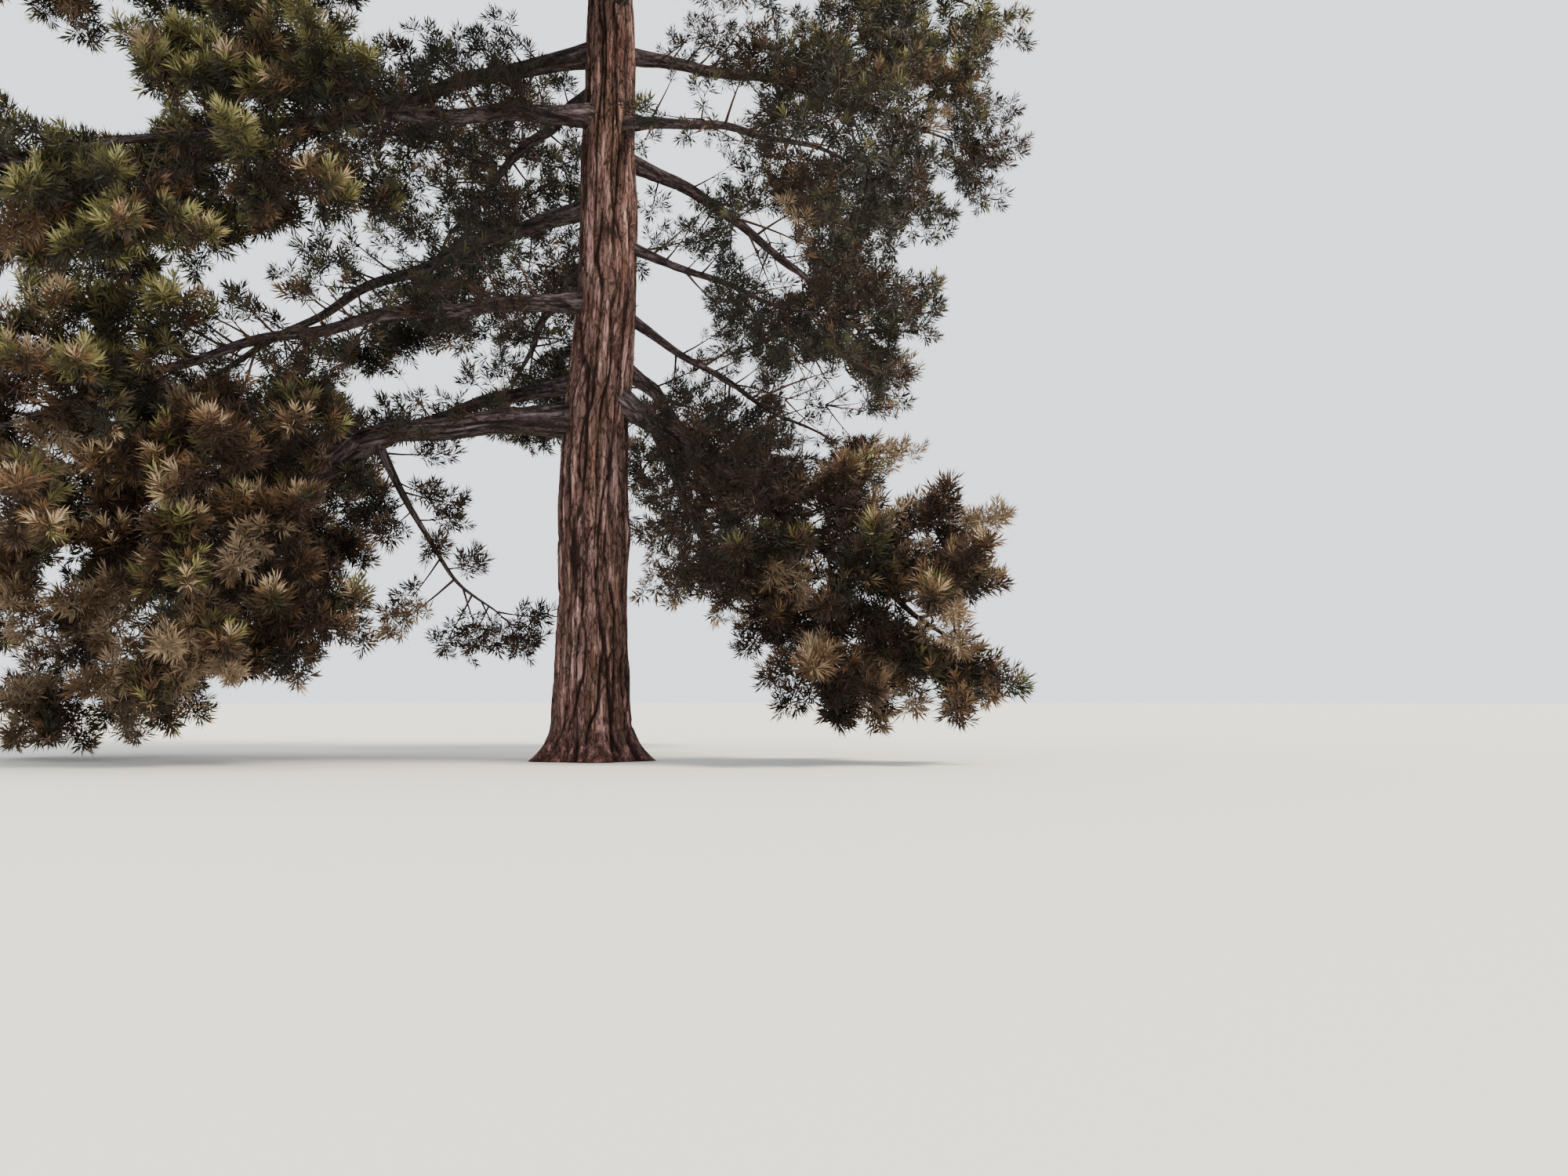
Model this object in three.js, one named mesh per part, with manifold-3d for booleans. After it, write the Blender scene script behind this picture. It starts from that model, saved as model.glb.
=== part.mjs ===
// A mature, open-grown pine as an assembly of solids: one trunk, boughs that leave it at staggered
// heights, and a mass of foliage at the end of each bough. Lengths are millimetres and angles are
// degrees. +X is the viewer's right, +Y points away from the viewer and +Z is up. The origin is the
// middle of the flat cut at ground level. A bearing is counted from +X towards +Y.
import * as THREE from "three";
import { mergeVertices } from "three/addons/utils/BufferGeometryUtils.js";
import Module from "manifold-3d";

const wasm = await Module();
wasm.setup();

// Trunk
const TRUNK_TOP = 22600;
const TRUNK_RADIUS = 540; // added to the tip's radius, at the foot of the taper
const TRUNK_TIP_RADIUS = 30;
const TRUNK_TAPER_POWER = 1.6; // above 1 keeps the lower trunk stout
const FLARE_RADIUS = 330; // what the root flare adds at the ground
const FLARE_HEIGHT = 320; // height over which the flare falls to about a third
const BUTTRESSES = 5;
const BUTTRESS_DEPTH = 0.28; // share of the flare that swells and sinks between roots
const BUTTRESS_TURN = 34; // where the first of them lies
const LEAN = 200; // sideways shift to the right between the two heights below
const LEAN_FROM = 4300;
const LEAN_TO = 8200;
const TRUNK_SIDES = 16;
const TRUNK_RINGS = 20;
const TRUNK_RING_POWER = 1.7; // above 1 crowds the rings towards the flare

// Limbs
const GAP = 0.3; // clearance between solids that touch on the real tree
const MERGE_WITHIN = 0.001; // points nearer than this are one point
const BOUGH_SIDES = 7;
const BOUGH_STEPS = 6;
const BOUGH_TAPER_POWER = 0.9;
const BOUGH_TIP_SHARE = 0.16; // a limb's radius at its far end, as a share of its foot
const COLLAR_SHARE = 0.45; // what the collar adds to a limb's radius where it leaves its host
const COLLAR_LENGTH = 420;
const KNEE_AT = 0.5; // share of the reach where a limb's curve is steered

// Foliage
const STEM_SIDES = 3;
const STEM_STEPS = 5;
const SPRAY_SIDES = 4; // the corners round a spray's core, and so the arms that stand out of it
const CORE_RADIUS = 240;
const ARM_LENGTH = 1380; // from a spray's middle to the tips of its arms
const ARM_LEAST_SHARE = 0.8; // the shortest arm over the longest
const ARM_NARROW = 28; // the least and the greatest angle between an arm and its twig
const ARM_WIDE = 78;
const ARM_DROOP = 0.14; // what gravity adds to an arm's direction
const ARM_CUTS = [1, 0.75, 0.5]; // an arm is cut to the longest of these shares that keeps to its space
const ARM_PROBES = [0.4, 0.7, 1]; // where along an arm its space is tested
const TWIG_PROBES = [0.4, 0.7, 1]; // and where along a twig
const ARM_GAP = 30; // between an arm and any other spray
const ARM_SHOULDER = 0.75; // an arm's thickness where it leaves the core, over the core's radius
const FEWEST_ARMS = 3;
const SPRAYS_PER_MASS = 15;
const TRIES_PER_MASS = 160;
const ROOT_DEPTH_SHARE = 0.4; // how far past its stem's middle a twig is rooted, over the stem's radius
const TWIG_LONGEST = 2500; // near the foot of a mass
const TWIG_SHORTEST = 900; // near its tip
const TWIG_LEAST_SHARE = 0.45; // the shortest twig over the longest at the same place
const TWIG_ANGLE = 58; // between a twig and its stem
const TWIGS_FROM = 0.05; // the share of a mass's stem that carries twigs starts and ends here
const TWIGS_TO = 0.97;
const TIP_TWIG_SHARE = 0.3; // the length of the twig that carries on from a stem's tip, over the shortest
const TIP_TWIG_SPREAD = 0.05;
const STEM_END = 0.995; // that twig's root, as a share of the stem
const GOLDEN_ANGLE = 137.508; // from one twig to the next, round the stem
const PLACE_STEP = 0.754878; // from one twig to the next, along it; it never falls in with the angle
const SEED_STEP = 500; // between the seeds of one mass and the next
const SPRAY_SPACING = 950; // between the middles of two sprays on one stem
const SPACE_MARGIN = 60; // every mass keeps this far inside its own space
const LIMB_CLEARANCE = 90; // between a spray and the bark of any limb
const GROUND_CLEARANCE = 120;
const BEAD_SPACING = 250; // between the points that distances to a limb are measured from

// Sky shows through these places when the tree is seen from the viewer's eye. Each is an ellipse on
// the upright plane through the trunk: its middle, its half sizes, and its turn from level. The last
// one keeps only what grows before the trunk away from it.
const EYE = new THREE.Vector3(3050, -24300, 990);
const SKY_GAPS = [
  { x: -1950, z: 3700, halfWidth: 1500, halfHeight: 1450, turn: 0 },
  { x: -4450, z: 7400, halfWidth: 2500, halfHeight: 380, turn: 28 },
  { x: -2400, z: 6100, halfWidth: 1700, halfHeight: 400, turn: 18 },
  { x: -8900, z: 11100, halfWidth: 1700, halfHeight: 650, turn: -25 },
  { x: 1500, z: 9700, halfWidth: 800, halfHeight: 500, turn: 0 },
  { x: 1150, z: 7100, halfWidth: 500, halfHeight: 1100, turn: -20 },
  { x: 0, z: 5000, halfWidth: 620, halfHeight: 7500, turn: 0, frontOnly: true },
];

// The boughs that show. foot is the height where a bough leaves the trunk, and turn is its bearing.
// rise lifts the middle of its curve, and drop is the height of its far end over its foot. The two
// numbers that follow are the share of it that is bare of foliage, and how strongly its twigs hang.
const LOWER_BOUGHS = [
  ["left_first", { foot: 5450, turn: 184, reach: 9500, rise: 50, drop: -2500, radius: 225 }, 0.46, 0.45],
  ["left_second", { foot: 6100, turn: 158, reach: 8600, rise: -200, drop: -2200, radius: 130 }, 0.42, 0.5],
  ["left_third", { foot: 7350, turn: 204, reach: 9300, rise: -300, drop: -3000, radius: 135 }, 0.4, 0.3],
  ["left_fourth", { foot: 9000, turn: 160, reach: 9300, rise: -500, drop: -3000, radius: 140 }, 0.36, 0.3],
  ["left_fifth", { foot: 10450, turn: 213, reach: 9300, rise: -700, drop: -2700, radius: 150 }, 0.36, 0.2],
  ["left_sixth", { foot: 11550, turn: 177, reach: 9200, rise: -700, drop: -2800, radius: 150 }, 0.34, 0.15],
  ["left_seventh", { foot: 12900, turn: 197, reach: 8700, rise: 600, drop: -600, radius: 140 }, 0.36, 0.1],
  ["right_first", { foot: 6000, turn: -14, reach: 5600, rise: -2000, drop: -4100, radius: 160 }, 0.42, 0.35],
  ["right_second", { foot: 7400, turn: 27, reach: 4300, rise: -1300, drop: -2000, radius: 75 }, 0.4, 0.25],
  ["right_third", { foot: 8450, turn: -9, reach: 4000, rise: -1000, drop: -1600, radius: 75 }, 0.42, 0.2],
  ["right_fourth", { foot: 10300, turn: -36, reach: 4900, rise: -300, drop: -1700, radius: 100 }, 0.4, 0.2],
  ["right_fifth", { foot: 11500, turn: 14, reach: 5900, rise: 0, drop: -900, radius: 110 }, 0.36, 0.1],
  ["back_first", { foot: 6500, turn: 72, reach: 7700, rise: 0, drop: -2900, radius: 150 }, 0.4, 0.4],
  ["back_second", { foot: 8300, turn: 112, reach: 7600, rise: 300, drop: -1000, radius: 140 }, 0.4, 0.2],
  ["back_third", { foot: 9800, turn: 52, reach: 7300, rise: 200, drop: -1900, radius: 130 }, 0.38, 0.2],
  ["back_fourth", { foot: 11000, turn: 124, reach: 7700, rise: 300, drop: -1100, radius: 130 }, 0.38, 0.15],
  ["front_first", { foot: 12300, turn: -60, reach: 7300, rise: 700, drop: -500, radius: 130 }, 0.38, 0.1],
  ["front_second", { foot: 13300, turn: -112, reach: 7600, rise: 900, drop: -100, radius: 130 }, 0.38, 0.1],
].map(([name, plan, bare, hang]) => ({ name, ...plan, bare, hang }));

// Limbs that carry the curtain of foliage that hangs on the left almost to the ground. foot is the
// share of their host's curve where they leave it.
const CURTAIN_HOST = "left_first";
const CURTAIN_LIMBS = [
  ["left_drape", { foot: 0.4, turn: 214, reach: 2900, rise: -1300, drop: -3300, radius: 85 }, 0.2, 0.3],
  ["left_skirt", { foot: 0.34, turn: 168, reach: 6100, rise: -1700, drop: -3700, radius: 95 }, 0.3, 0.3],
].map(([name, plan, bare, hang]) => ({ name, ...plan, bare, hang }));

// Above the lower boughs the crown is a dome, and its boughs follow each other by the golden angle.
const UPPER_BOUGHS = 9;
const UPPER_FROM = 13900;
const UPPER_TO = 21200;
const UPPER_FIRST_TURN = 38;
const DOME_RADIUS = 8100;
const DOME_BASE = 12400;
const DOME_HEIGHT = 11600;
const UPPER_REACH_LEAST = 0.92; // how far into the dome the shortest and the longest of them reach
const UPPER_REACH_MOST = 1.04;
const UPPER_RADIUS_SHARE = 0.42; // a bough's radius over the trunk's, where it leaves it
const UPPER_HANG = 0.05;
const UPPER_LOWEST = { rise: 0.12, drop: 0.1, bare: 0.36 }; // rise and drop as shares of the reach
const UPPER_HIGHEST = { rise: 0.24, drop: 0.32, bare: 0.26 };
const LEADER_LENGTH = 700;
const LEADER_RADIUS = 18;

const UP = new THREE.Vector3(0, 0, 1);
const radians = THREE.MathUtils.degToRad;
const smooth = (low, high, value) => THREE.MathUtils.smoothstep(value, low, high);

/** A number from 0 to 1 that looks random and is always the same for one seed. */
function chance(seed) {
  const wave = Math.sin(seed * 12.9898 + 4.1414) * 43758.5453;
  return wave - Math.floor(wave);
}

/** The level direction of a bearing. */
function outward(bearing) {
  return new THREE.Vector3(Math.cos(radians(bearing)), Math.sin(radians(bearing)), 0);
}

/** The middle of the trunk at a height. */
function trunkMiddle(height) {
  const shift = LEAN * smooth(LEAN_FROM, LEAN_TO, height);
  return new THREE.Vector3(shift, 0, height);
}

/** The trunk's radius at a height, without the swelling of its roots. */
function trunkRadius(height) {
  const taper = 1 - Math.pow(height / TRUNK_TOP, TRUNK_TAPER_POWER);
  return TRUNK_TIP_RADIUS + TRUNK_RADIUS * taper + FLARE_RADIUS * Math.exp(-height / FLARE_HEIGHT);
}

/** How much the buttress roots push the bark in or out at a height and an angle. */
function buttress(height, angle) {
  const fade = Math.exp(-height / FLARE_HEIGHT);
  return FLARE_RADIUS * BUTTRESS_DEPTH * fade * Math.cos(BUTTRESSES * angle + radians(BUTTRESS_TURN));
}

/** A three.js geometry as a solid of manifold-3d. */
function solidOf(geometry) {
  const bare = geometry.clone();
  bare.deleteAttribute("normal");
  bare.deleteAttribute("uv");
  const merged = mergeVertices(bare, MERGE_WITHIN);
  return new wasm.Manifold(
    new wasm.Mesh({
      numProp: 3,
      vertProperties: merged.attributes.position.array,
      triVerts: new Uint32Array(merged.index.array),
    }),
  );
}

/** A solid of manifold-3d as a three.js geometry with flat faces. */
function geometryOf(solid) {
  const mesh = solid.getMesh();
  const geometry = new THREE.BufferGeometry();
  geometry.setAttribute("position", new THREE.BufferAttribute(mesh.vertProperties, 3));
  geometry.setIndex(new THREE.BufferAttribute(mesh.triVerts, 1));
  const flat = geometry.toNonIndexed();
  flat.computeVertexNormals();
  return flat;
}

/**
 * A closed cylinder whose every point is moved to place(share, angle, out): its share along the
 * cylinder, its angle round it by the right hand, and 0 at the axis or 1 at the surface.
 */
function bentCylinder(sides, steps, place) {
  const geometry = new THREE.CylinderGeometry(1, 1, 1, sides, steps);
  const position = geometry.attributes.position;
  const step = (2 * Math.PI) / sides;
  for (let i = 0; i < position.count; i++) {
    const x = position.getX(i);
    const z = position.getZ(i);
    const share = THREE.MathUtils.clamp(position.getY(i) + 0.5, 0, 1);
    const angle = step * Math.round(Math.atan2(-z, x) / step);
    const moved = place(share, angle, Math.hypot(x, z));
    position.setXYZ(i, moved.x, moved.y, moved.z);
  }
  return geometry;
}

/** The trunk, or the trunk made fatter by a margin all round to cut its neighbours clear of it. */
function trunkSolid(margin = 0) {
  const low = -2 * margin;
  const high = TRUNK_TOP + margin;
  return solidOf(
    bentCylinder(TRUNK_SIDES, TRUNK_RINGS, (share, angle, out) => {
      const height = low + (high - low) * Math.pow(share, TRUNK_RING_POWER);
      const grown = THREE.MathUtils.clamp(height, 0, TRUNK_TOP);
      const radius = (trunkRadius(grown) + buttress(grown, angle) + margin) * out;
      const middle = trunkMiddle(height);
      return middle.add(new THREE.Vector3(Math.cos(angle), Math.sin(angle), 0).multiplyScalar(radius));
    }),
  );
}

/** A limb's curve, from the middle of its host to its far end, with its radius along it. */
function makeLimb(plan, foot, hostRadius) {
  const out = outward(plan.turn);
  const knee = foot.clone().addScaledVector(out, plan.reach * KNEE_AT).addScaledVector(UP, plan.rise);
  const tip = foot.clone().addScaledVector(out, plan.reach).addScaledVector(UP, plan.drop);
  const curve = new THREE.QuadraticBezierCurve3(foot, knee, tip);
  return { ...plan, curve, length: curve.getLength(), hostRadius };
}

/** A limb's radius at a share of its curve: an even taper, with a collar where it leaves its host. */
function limbRadius(limb, share) {
  const taper = BOUGH_TIP_SHARE + (1 - BOUGH_TIP_SHARE) * Math.pow(1 - share, BOUGH_TAPER_POWER);
  const past = Math.max(0, share * limb.length - limb.hostRadius);
  return limb.radius * (taper + COLLAR_SHARE * Math.exp(-past / COLLAR_LENGTH));
}

/** The two directions square to a direction, in right-handed order: one level, and one that rises. */
function squareTo(along) {
  const level = new THREE.Vector3().crossVectors(UP, along).normalize();
  if (level.lengthSq() === 0) level.set(1, 0, 0);
  return { level, rising: new THREE.Vector3().crossVectors(along, level) };
}

/** A limb's direction at a share of its curve, with the two directions square to it. */
function crossFrame(curve, share) {
  const along = curve.getTangent(share);
  return { along, ...squareTo(along) };
}

/** The solid of a limb between two shares of its curve. */
function limbSolid(limb, from, to, sides, steps, margin = 0) {
  return solidOf(
    bentCylinder(sides, steps, (share, angle, out) => {
      const at = from + (to - from) * share;
      const { level, rising } = crossFrame(limb.curve, at);
      const radius = (limbRadius(limb, at) + margin) * out;
      return limb.curve
        .getPoint(at)
        .addScaledVector(level, radius * Math.cos(angle))
        .addScaledVector(rising, radius * Math.sin(angle));
    }),
  );
}

/** The bare part of a limb, or that part grown by a margin to cut its neighbours clear of it. */
function boughSolid(limb, margin = 0) {
  return limbSolid(limb, 0, limb.bare, BOUGH_SIDES, BOUGH_STEPS, margin);
}

/** Every limb of the tree, in a fixed order. */
function growLimbs() {
  const limbs = LOWER_BOUGHS.map((plan) =>
    makeLimb(plan, trunkMiddle(plan.foot), trunkRadius(plan.foot)),
  );
  const host = limbs.find((limb) => limb.name === CURTAIN_HOST);
  for (const plan of CURTAIN_LIMBS) {
    limbs.push({ ...makeLimb(plan, host.curve.getPoint(plan.foot), limbRadius(host, plan.foot)), host });
  }
  for (let i = 0; i < UPPER_BOUGHS; i++) {
    const share = i / (UPPER_BOUGHS - 1);
    const between = (low, high) => THREE.MathUtils.lerp(low, high, share);
    const height = between(UPPER_FROM, UPPER_TO);
    const dome = DOME_RADIUS * Math.sqrt(1 - Math.pow((height - DOME_BASE) / DOME_HEIGHT, 2));
    const reach = dome * THREE.MathUtils.lerp(UPPER_REACH_LEAST, UPPER_REACH_MOST, chance(i + 1));
    const plan = {
      name: `upper_${i + 1}`,
      turn: UPPER_FIRST_TURN + GOLDEN_ANGLE * i,
      reach,
      rise: reach * between(UPPER_LOWEST.rise, UPPER_HIGHEST.rise),
      drop: reach * between(UPPER_LOWEST.drop, UPPER_HIGHEST.drop),
      radius: trunkRadius(height) * UPPER_RADIUS_SHARE,
      bare: between(UPPER_LOWEST.bare, UPPER_HIGHEST.bare),
      hang: UPPER_HANG,
    };
    limbs.push(makeLimb(plan, trunkMiddle(height), trunkRadius(height)));
  }
  return limbs;
}

/** The shoot that carries on from the tip of the trunk. */
function growLeader() {
  const plan = { name: "top", turn: 0, reach: 1, rise: LEADER_LENGTH / 2, drop: LEADER_LENGTH };
  const foot = trunkMiddle(TRUNK_TOP).addScaledVector(UP, GAP);
  return makeLimb({ ...plan, radius: LEADER_RADIUS, bare: 0, hang: 0 }, foot, 0);
}

/** Points along part of a limb, close enough together to measure distances from, with its radius. */
function limbBeads(limb, from, to) {
  const count = 2 + Math.ceil((limb.length * (to - from)) / BEAD_SPACING);
  return Array.from({ length: count }, (_, i) => {
    const share = from + ((to - from) * i) / (count - 1);
    return { point: limb.curve.getPoint(share), radius: limbRadius(limb, share) };
  });
}

/** The trunk as points with radii, from the ground to its tip. */
function trunkBeads() {
  const count = Math.ceil(TRUNK_TOP / BEAD_SPACING);
  return Array.from({ length: count + 1 }, (_, i) => {
    const height = (TRUNK_TOP * i) / count;
    return { point: trunkMiddle(height), radius: trunkRadius(height) };
  });
}

/** The distance from a point to the bark of the nearest of some beads. */
function clearOf(point, beads) {
  const gap = (bead) => point.distanceTo(bead.point) - bead.radius;
  return beads.reduce((least, bead) => Math.min(least, gap(bead)), Infinity);
}

/** The distance from a point to the middle of the nearest of some beads. */
function distanceTo(point, beads) {
  return beads.reduce((least, bead) => Math.min(least, point.distanceTo(bead.point)), Infinity);
}

/** Whether sky shows at a point, as the viewer sees it. */
function inSkyGap(point) {
  const share = -EYE.y / (point.y - EYE.y);
  const x = EYE.x + (point.x - EYE.x) * share;
  const z = EYE.z + (point.z - EYE.z) * share;
  return SKY_GAPS.some((gap) => {
    if (gap.frontOnly && point.y > -TRUNK_RADIUS) return false;
    const turn = radians(gap.turn);
    const across = (x - gap.x) * Math.cos(turn) + (z - gap.z) * Math.sin(turn);
    const upward = (z - gap.z) * Math.cos(turn) - (x - gap.x) * Math.sin(turn);
    return Math.hypot(across / gap.halfWidth, upward / gap.halfHeight) < 1;
  });
}

/** The corners of a spray's core as directions, in order round its twig. */
function sprayCorners(along, seed) {
  const { level, rising } = squareTo(along);
  const roll = Math.PI * chance(seed + 0.5);
  return Array.from({ length: SPRAY_SIDES }, (_, i) => {
    const angle = roll + (2 * Math.PI * i) / SPRAY_SIDES;
    return level.clone().multiplyScalar(Math.cos(angle)).addScaledVector(rising, Math.sin(angle));
  });
}

/** The full reach of each arm of a spray: every one leans out between two corners of the core. */
function sprayArms(along, corners, seed) {
  return corners.map((corner, i) => {
    const between = corner.clone().add(corners[(i + 1) % SPRAY_SIDES]).normalize();
    const spread = radians(ARM_NARROW + (ARM_WIDE - ARM_NARROW) * chance(seed + i + 0.25));
    const way = along.clone().multiplyScalar(Math.cos(spread)).addScaledVector(between, Math.sin(spread));
    way.addScaledVector(UP, -ARM_DROOP).normalize();
    const share = ARM_LEAST_SHARE + (1 - ARM_LEAST_SHARE) * chance(seed + i + 0.75);
    return { reach: way.multiplyScalar(ARM_LENGTH * share), cut: 1 };
  });
}

/** The twig and spray that try number k of a mass would grow, by the seeded rule. */
function sprayOf(limb, index, k) {
  const seed = index * SEED_STEP + k;
  const place = k === 0 ? 1 : TWIGS_FROM + (TWIGS_TO - TWIGS_FROM) * ((k * PLACE_STEP) % 1);
  const share = limb.bare + (1 - limb.bare) * place;
  const { along, level, rising } = crossFrame(limb.curve, share);
  const roll = radians(GOLDEN_ANGLE * k);
  const spread = k === 0 ? TIP_TWIG_SPREAD : Math.sin(radians(TWIG_ANGLE));
  const way = along
    .clone()
    .multiplyScalar(Math.cos(radians(TWIG_ANGLE)))
    .addScaledVector(level, spread * Math.cos(roll))
    .addScaledVector(rising, spread * Math.sin(roll))
    .addScaledVector(UP, -limb.hang)
    .normalize();
  const longest = TWIG_LONGEST + (TWIG_SHORTEST - TWIG_LONGEST) * place;
  const grown = TWIG_LEAST_SHARE + (1 - TWIG_LEAST_SHARE) * chance(seed);
  const length = k === 0 ? TIP_TWIG_SHARE * TWIG_SHORTEST : longest * grown;
  const at = Math.min(share, STEM_END);
  const middle = limb.curve.getPoint(at).addScaledVector(way, length);
  const root = limb.curve.getPoint(at).addScaledVector(way, -ROOT_DEPTH_SHARE * limbRadius(limb, at));
  const corners = sprayCorners(way, seed);
  return { root, middle, way, corners, arms: sprayArms(way, corners, seed) };
}

/**
 * Whether a point of a spray that is so thick there is above the ground, nearer to its own mass than to
 * any other, off the limbs, and not where sky shows.
 */
function keepsToSpace(point, thickness, own, others, limbBeadSets) {
  if (point.z < GROUND_CLEARANCE || inSkyGap(point)) return false;
  const room = distanceTo(point, own) + 2 * (SPACE_MARGIN + thickness);
  if (others.some((beads) => distanceTo(point, beads) < room)) return false;
  return limbBeadSets.every((beads) => clearOf(point, beads) > LIMB_CLEARANCE + thickness);
}

/** A twig or an arm as a straight line with its thickness at either end. */
function spike(start, end, startRadius, endRadius) {
  return { line: new THREE.Line3(start, end), startRadius, endRadius };
}

/** Whether two spikes come nearer to each other than their thickness and the gap allow. */
function spikesMeet(one, other) {
  const on = new THREE.Vector3();
  const off = new THREE.Vector3();
  const distance = Math.sqrt(one.line.distanceSqToLine3(other.line, on, off));
  const radiusAt = ({ line, startRadius, endRadius }, point) =>
    THREE.MathUtils.lerp(startRadius, endRadius, point.distanceTo(line.start) / line.distance());
  return distance < radiusAt(one, on) + radiusAt(other, off) + ARM_GAP;
}

/** The sprays of one mass: those of its tries, with those of their arms, that keep to its space. */
function growSprays(limb, index, masses, limbBeadSets) {
  const own = masses[index];
  const others = masses.filter((_, i) => i !== index);
  const fits = (point, thickness) => keepsToSpace(point, thickness, own, others, limbBeadSets);
  const grown = [];
  const spikes = [];
  const meetsGrown = (one) => spikes.some((other) => spikesMeet(one, other));
  for (let k = 0; k < TRIES_PER_MASS && grown.length < SPRAYS_PER_MASS; k++) {
    const spray = sprayOf(limb, index, k);
    const { root, middle, arms } = spray;
    if (grown.some((other) => other.middle.distanceTo(middle) < SPRAY_SPACING)) continue;
    const twig = spike(root, middle, 0, CORE_RADIUS);
    const twigFits = (probe) => fits(root.clone().lerp(middle, probe), CORE_RADIUS * probe);
    if (!TWIG_PROBES.every(twigFits) || meetsGrown(twig)) continue;
    for (const arm of arms) {
      const armSpike = (cut) =>
        spike(middle, middle.clone().addScaledVector(arm.reach, cut), CORE_RADIUS * ARM_SHOULDER, 0);
      const armFits = (probe, cut) =>
        fits(middle.clone().addScaledVector(arm.reach, probe * cut), CORE_RADIUS * (1 - probe));
      const holds = (cut) => ARM_PROBES.every((probe) => armFits(probe, cut)) && !meetsGrown(armSpike(cut));
      arm.cut = ARM_CUTS.find(holds) ?? 0;
      arm.spike = armSpike(arm.cut);
    }
    const kept = arms.filter((arm) => arm.cut > 0);
    if (kept.length < FEWEST_ARMS) continue;
    spikes.push(twig, ...kept.map((arm) => arm.spike));
    grown.push(spray);
  }
  return grown;
}

/** A spray: a twig that widens from its root to a core, whose faces are drawn out into the arms. */
function spraySolid({ root, middle, way, corners, arms }) {
  const side = corners.map((corner) => middle.clone().addScaledVector(corner, CORE_RADIUS));
  const end = middle.clone().addScaledVector(way, CORE_RADIUS);
  const points = [];
  arms.forEach(({ reach, cut }, i) => {
    const next = side[(i + 1) % SPRAY_SIDES];
    points.push(root, next, side[i]);
    if (cut === 0) {
      points.push(side[i], next, end);
      return;
    }
    const tip = middle.clone().addScaledVector(reach, cut);
    points.push(side[i], next, tip);
    points.push(next, end, tip);
    points.push(end, side[i], tip);
  });
  return solidOf(new THREE.BufferGeometry().setFromPoints(points));
}

/** Pieces fused into one solid. Loose scraps and sealed hollows that fusing leaves are dropped. */
function fuse(pieces) {
  const bodies = wasm.Manifold.union(pieces).decompose();
  return bodies.reduce((largest, body) => (body.volume() > largest.volume() ? body : largest));
}

/** A mass of foliage: its stem, and the twigs and sprays that it carries. */
function massSolid(limb, sprays) {
  const from = limb.bare + (limb.bare > 0 ? GAP / limb.length : 0);
  const stem = limbSolid(limb, from, 1, STEM_SIDES, STEM_STEPS);
  return fuse([stem, ...sprays.map(spraySolid)]);
}

const bark = new THREE.MeshStandardMaterial({ color: 0x5a4238, roughness: 0.95, metalness: 0 });
const needles = new THREE.MeshStandardMaterial({ color: 0x4a4f26, roughness: 0.8, metalness: 0 });

/** A named mesh of a solid. */
function meshOf(name, solid, material) {
  const mesh = new THREE.Mesh(geometryOf(solid), material);
  mesh.name = name;
  return mesh;
}

/** The whole tree. */
function growTree() {
  const tree = new THREE.Group();
  tree.add(meshOf("trunk", trunkSolid(), bark));
  const limbs = growLimbs();
  const aroundTrunk = trunkSolid(GAP);
  for (const limb of limbs) {
    const whole = boughSolid(limb);
    const cutter = limb.host ? boughSolid(limb.host, GAP) : aroundTrunk;
    tree.add(meshOf(`bough_${limb.name}`, fuse([whole.subtract(cutter)]), bark));
  }
  const carriers = [...limbs, growLeader()];
  const masses = carriers.map((limb) => limbBeads(limb, limb.bare, 1));
  const limbBeadSets = [trunkBeads(), ...limbs.map((limb) => limbBeads(limb, 0, limb.bare))];
  carriers.forEach((limb, index) => {
    const sprays = growSprays(limb, index, masses, limbBeadSets);
    tree.add(meshOf(`foliage_${limb.name}`, massSolid(limb, sprays), needles));
  });
  return tree;
}

export default growTree();
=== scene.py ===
"""A mature, open-grown pine in full detail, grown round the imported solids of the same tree.

The trunk and the boughs get a skin with the relief of old bark. The masses of foliage grow again by
the rule that placed their solids, and carry on from there to twigs, shoots and tufts of needles.
Lengths are metres and angles are degrees. +X is the viewer's right, +Y points away from the viewer
and +Z is up. The origin is the middle of the flat cut at ground level. A bearing is counted from +X
towards +Y.
"""

import math
from functools import partial

import bpy
import numpy as np
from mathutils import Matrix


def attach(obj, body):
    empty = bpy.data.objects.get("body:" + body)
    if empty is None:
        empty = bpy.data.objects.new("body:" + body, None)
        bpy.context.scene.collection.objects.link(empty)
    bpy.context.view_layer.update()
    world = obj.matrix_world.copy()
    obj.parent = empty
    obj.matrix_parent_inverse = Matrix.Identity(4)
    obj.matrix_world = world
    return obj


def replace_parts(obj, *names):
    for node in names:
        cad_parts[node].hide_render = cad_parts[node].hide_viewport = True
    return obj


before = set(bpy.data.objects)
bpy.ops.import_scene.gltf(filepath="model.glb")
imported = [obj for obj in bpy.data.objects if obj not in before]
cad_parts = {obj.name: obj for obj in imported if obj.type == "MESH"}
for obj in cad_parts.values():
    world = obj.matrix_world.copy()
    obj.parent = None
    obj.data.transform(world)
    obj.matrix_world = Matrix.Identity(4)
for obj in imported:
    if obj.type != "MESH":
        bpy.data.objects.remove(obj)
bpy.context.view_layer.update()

# The named sizes of the solids: trunk
TRUNK_TOP = 22.6
TRUNK_RADIUS = 0.54
TRUNK_TIP_RADIUS = 0.03
TRUNK_TAPER_POWER = 1.6
FLARE_RADIUS = 0.33
FLARE_HEIGHT = 0.32
BUTTRESSES = 5
BUTTRESS_DEPTH = 0.28
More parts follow.
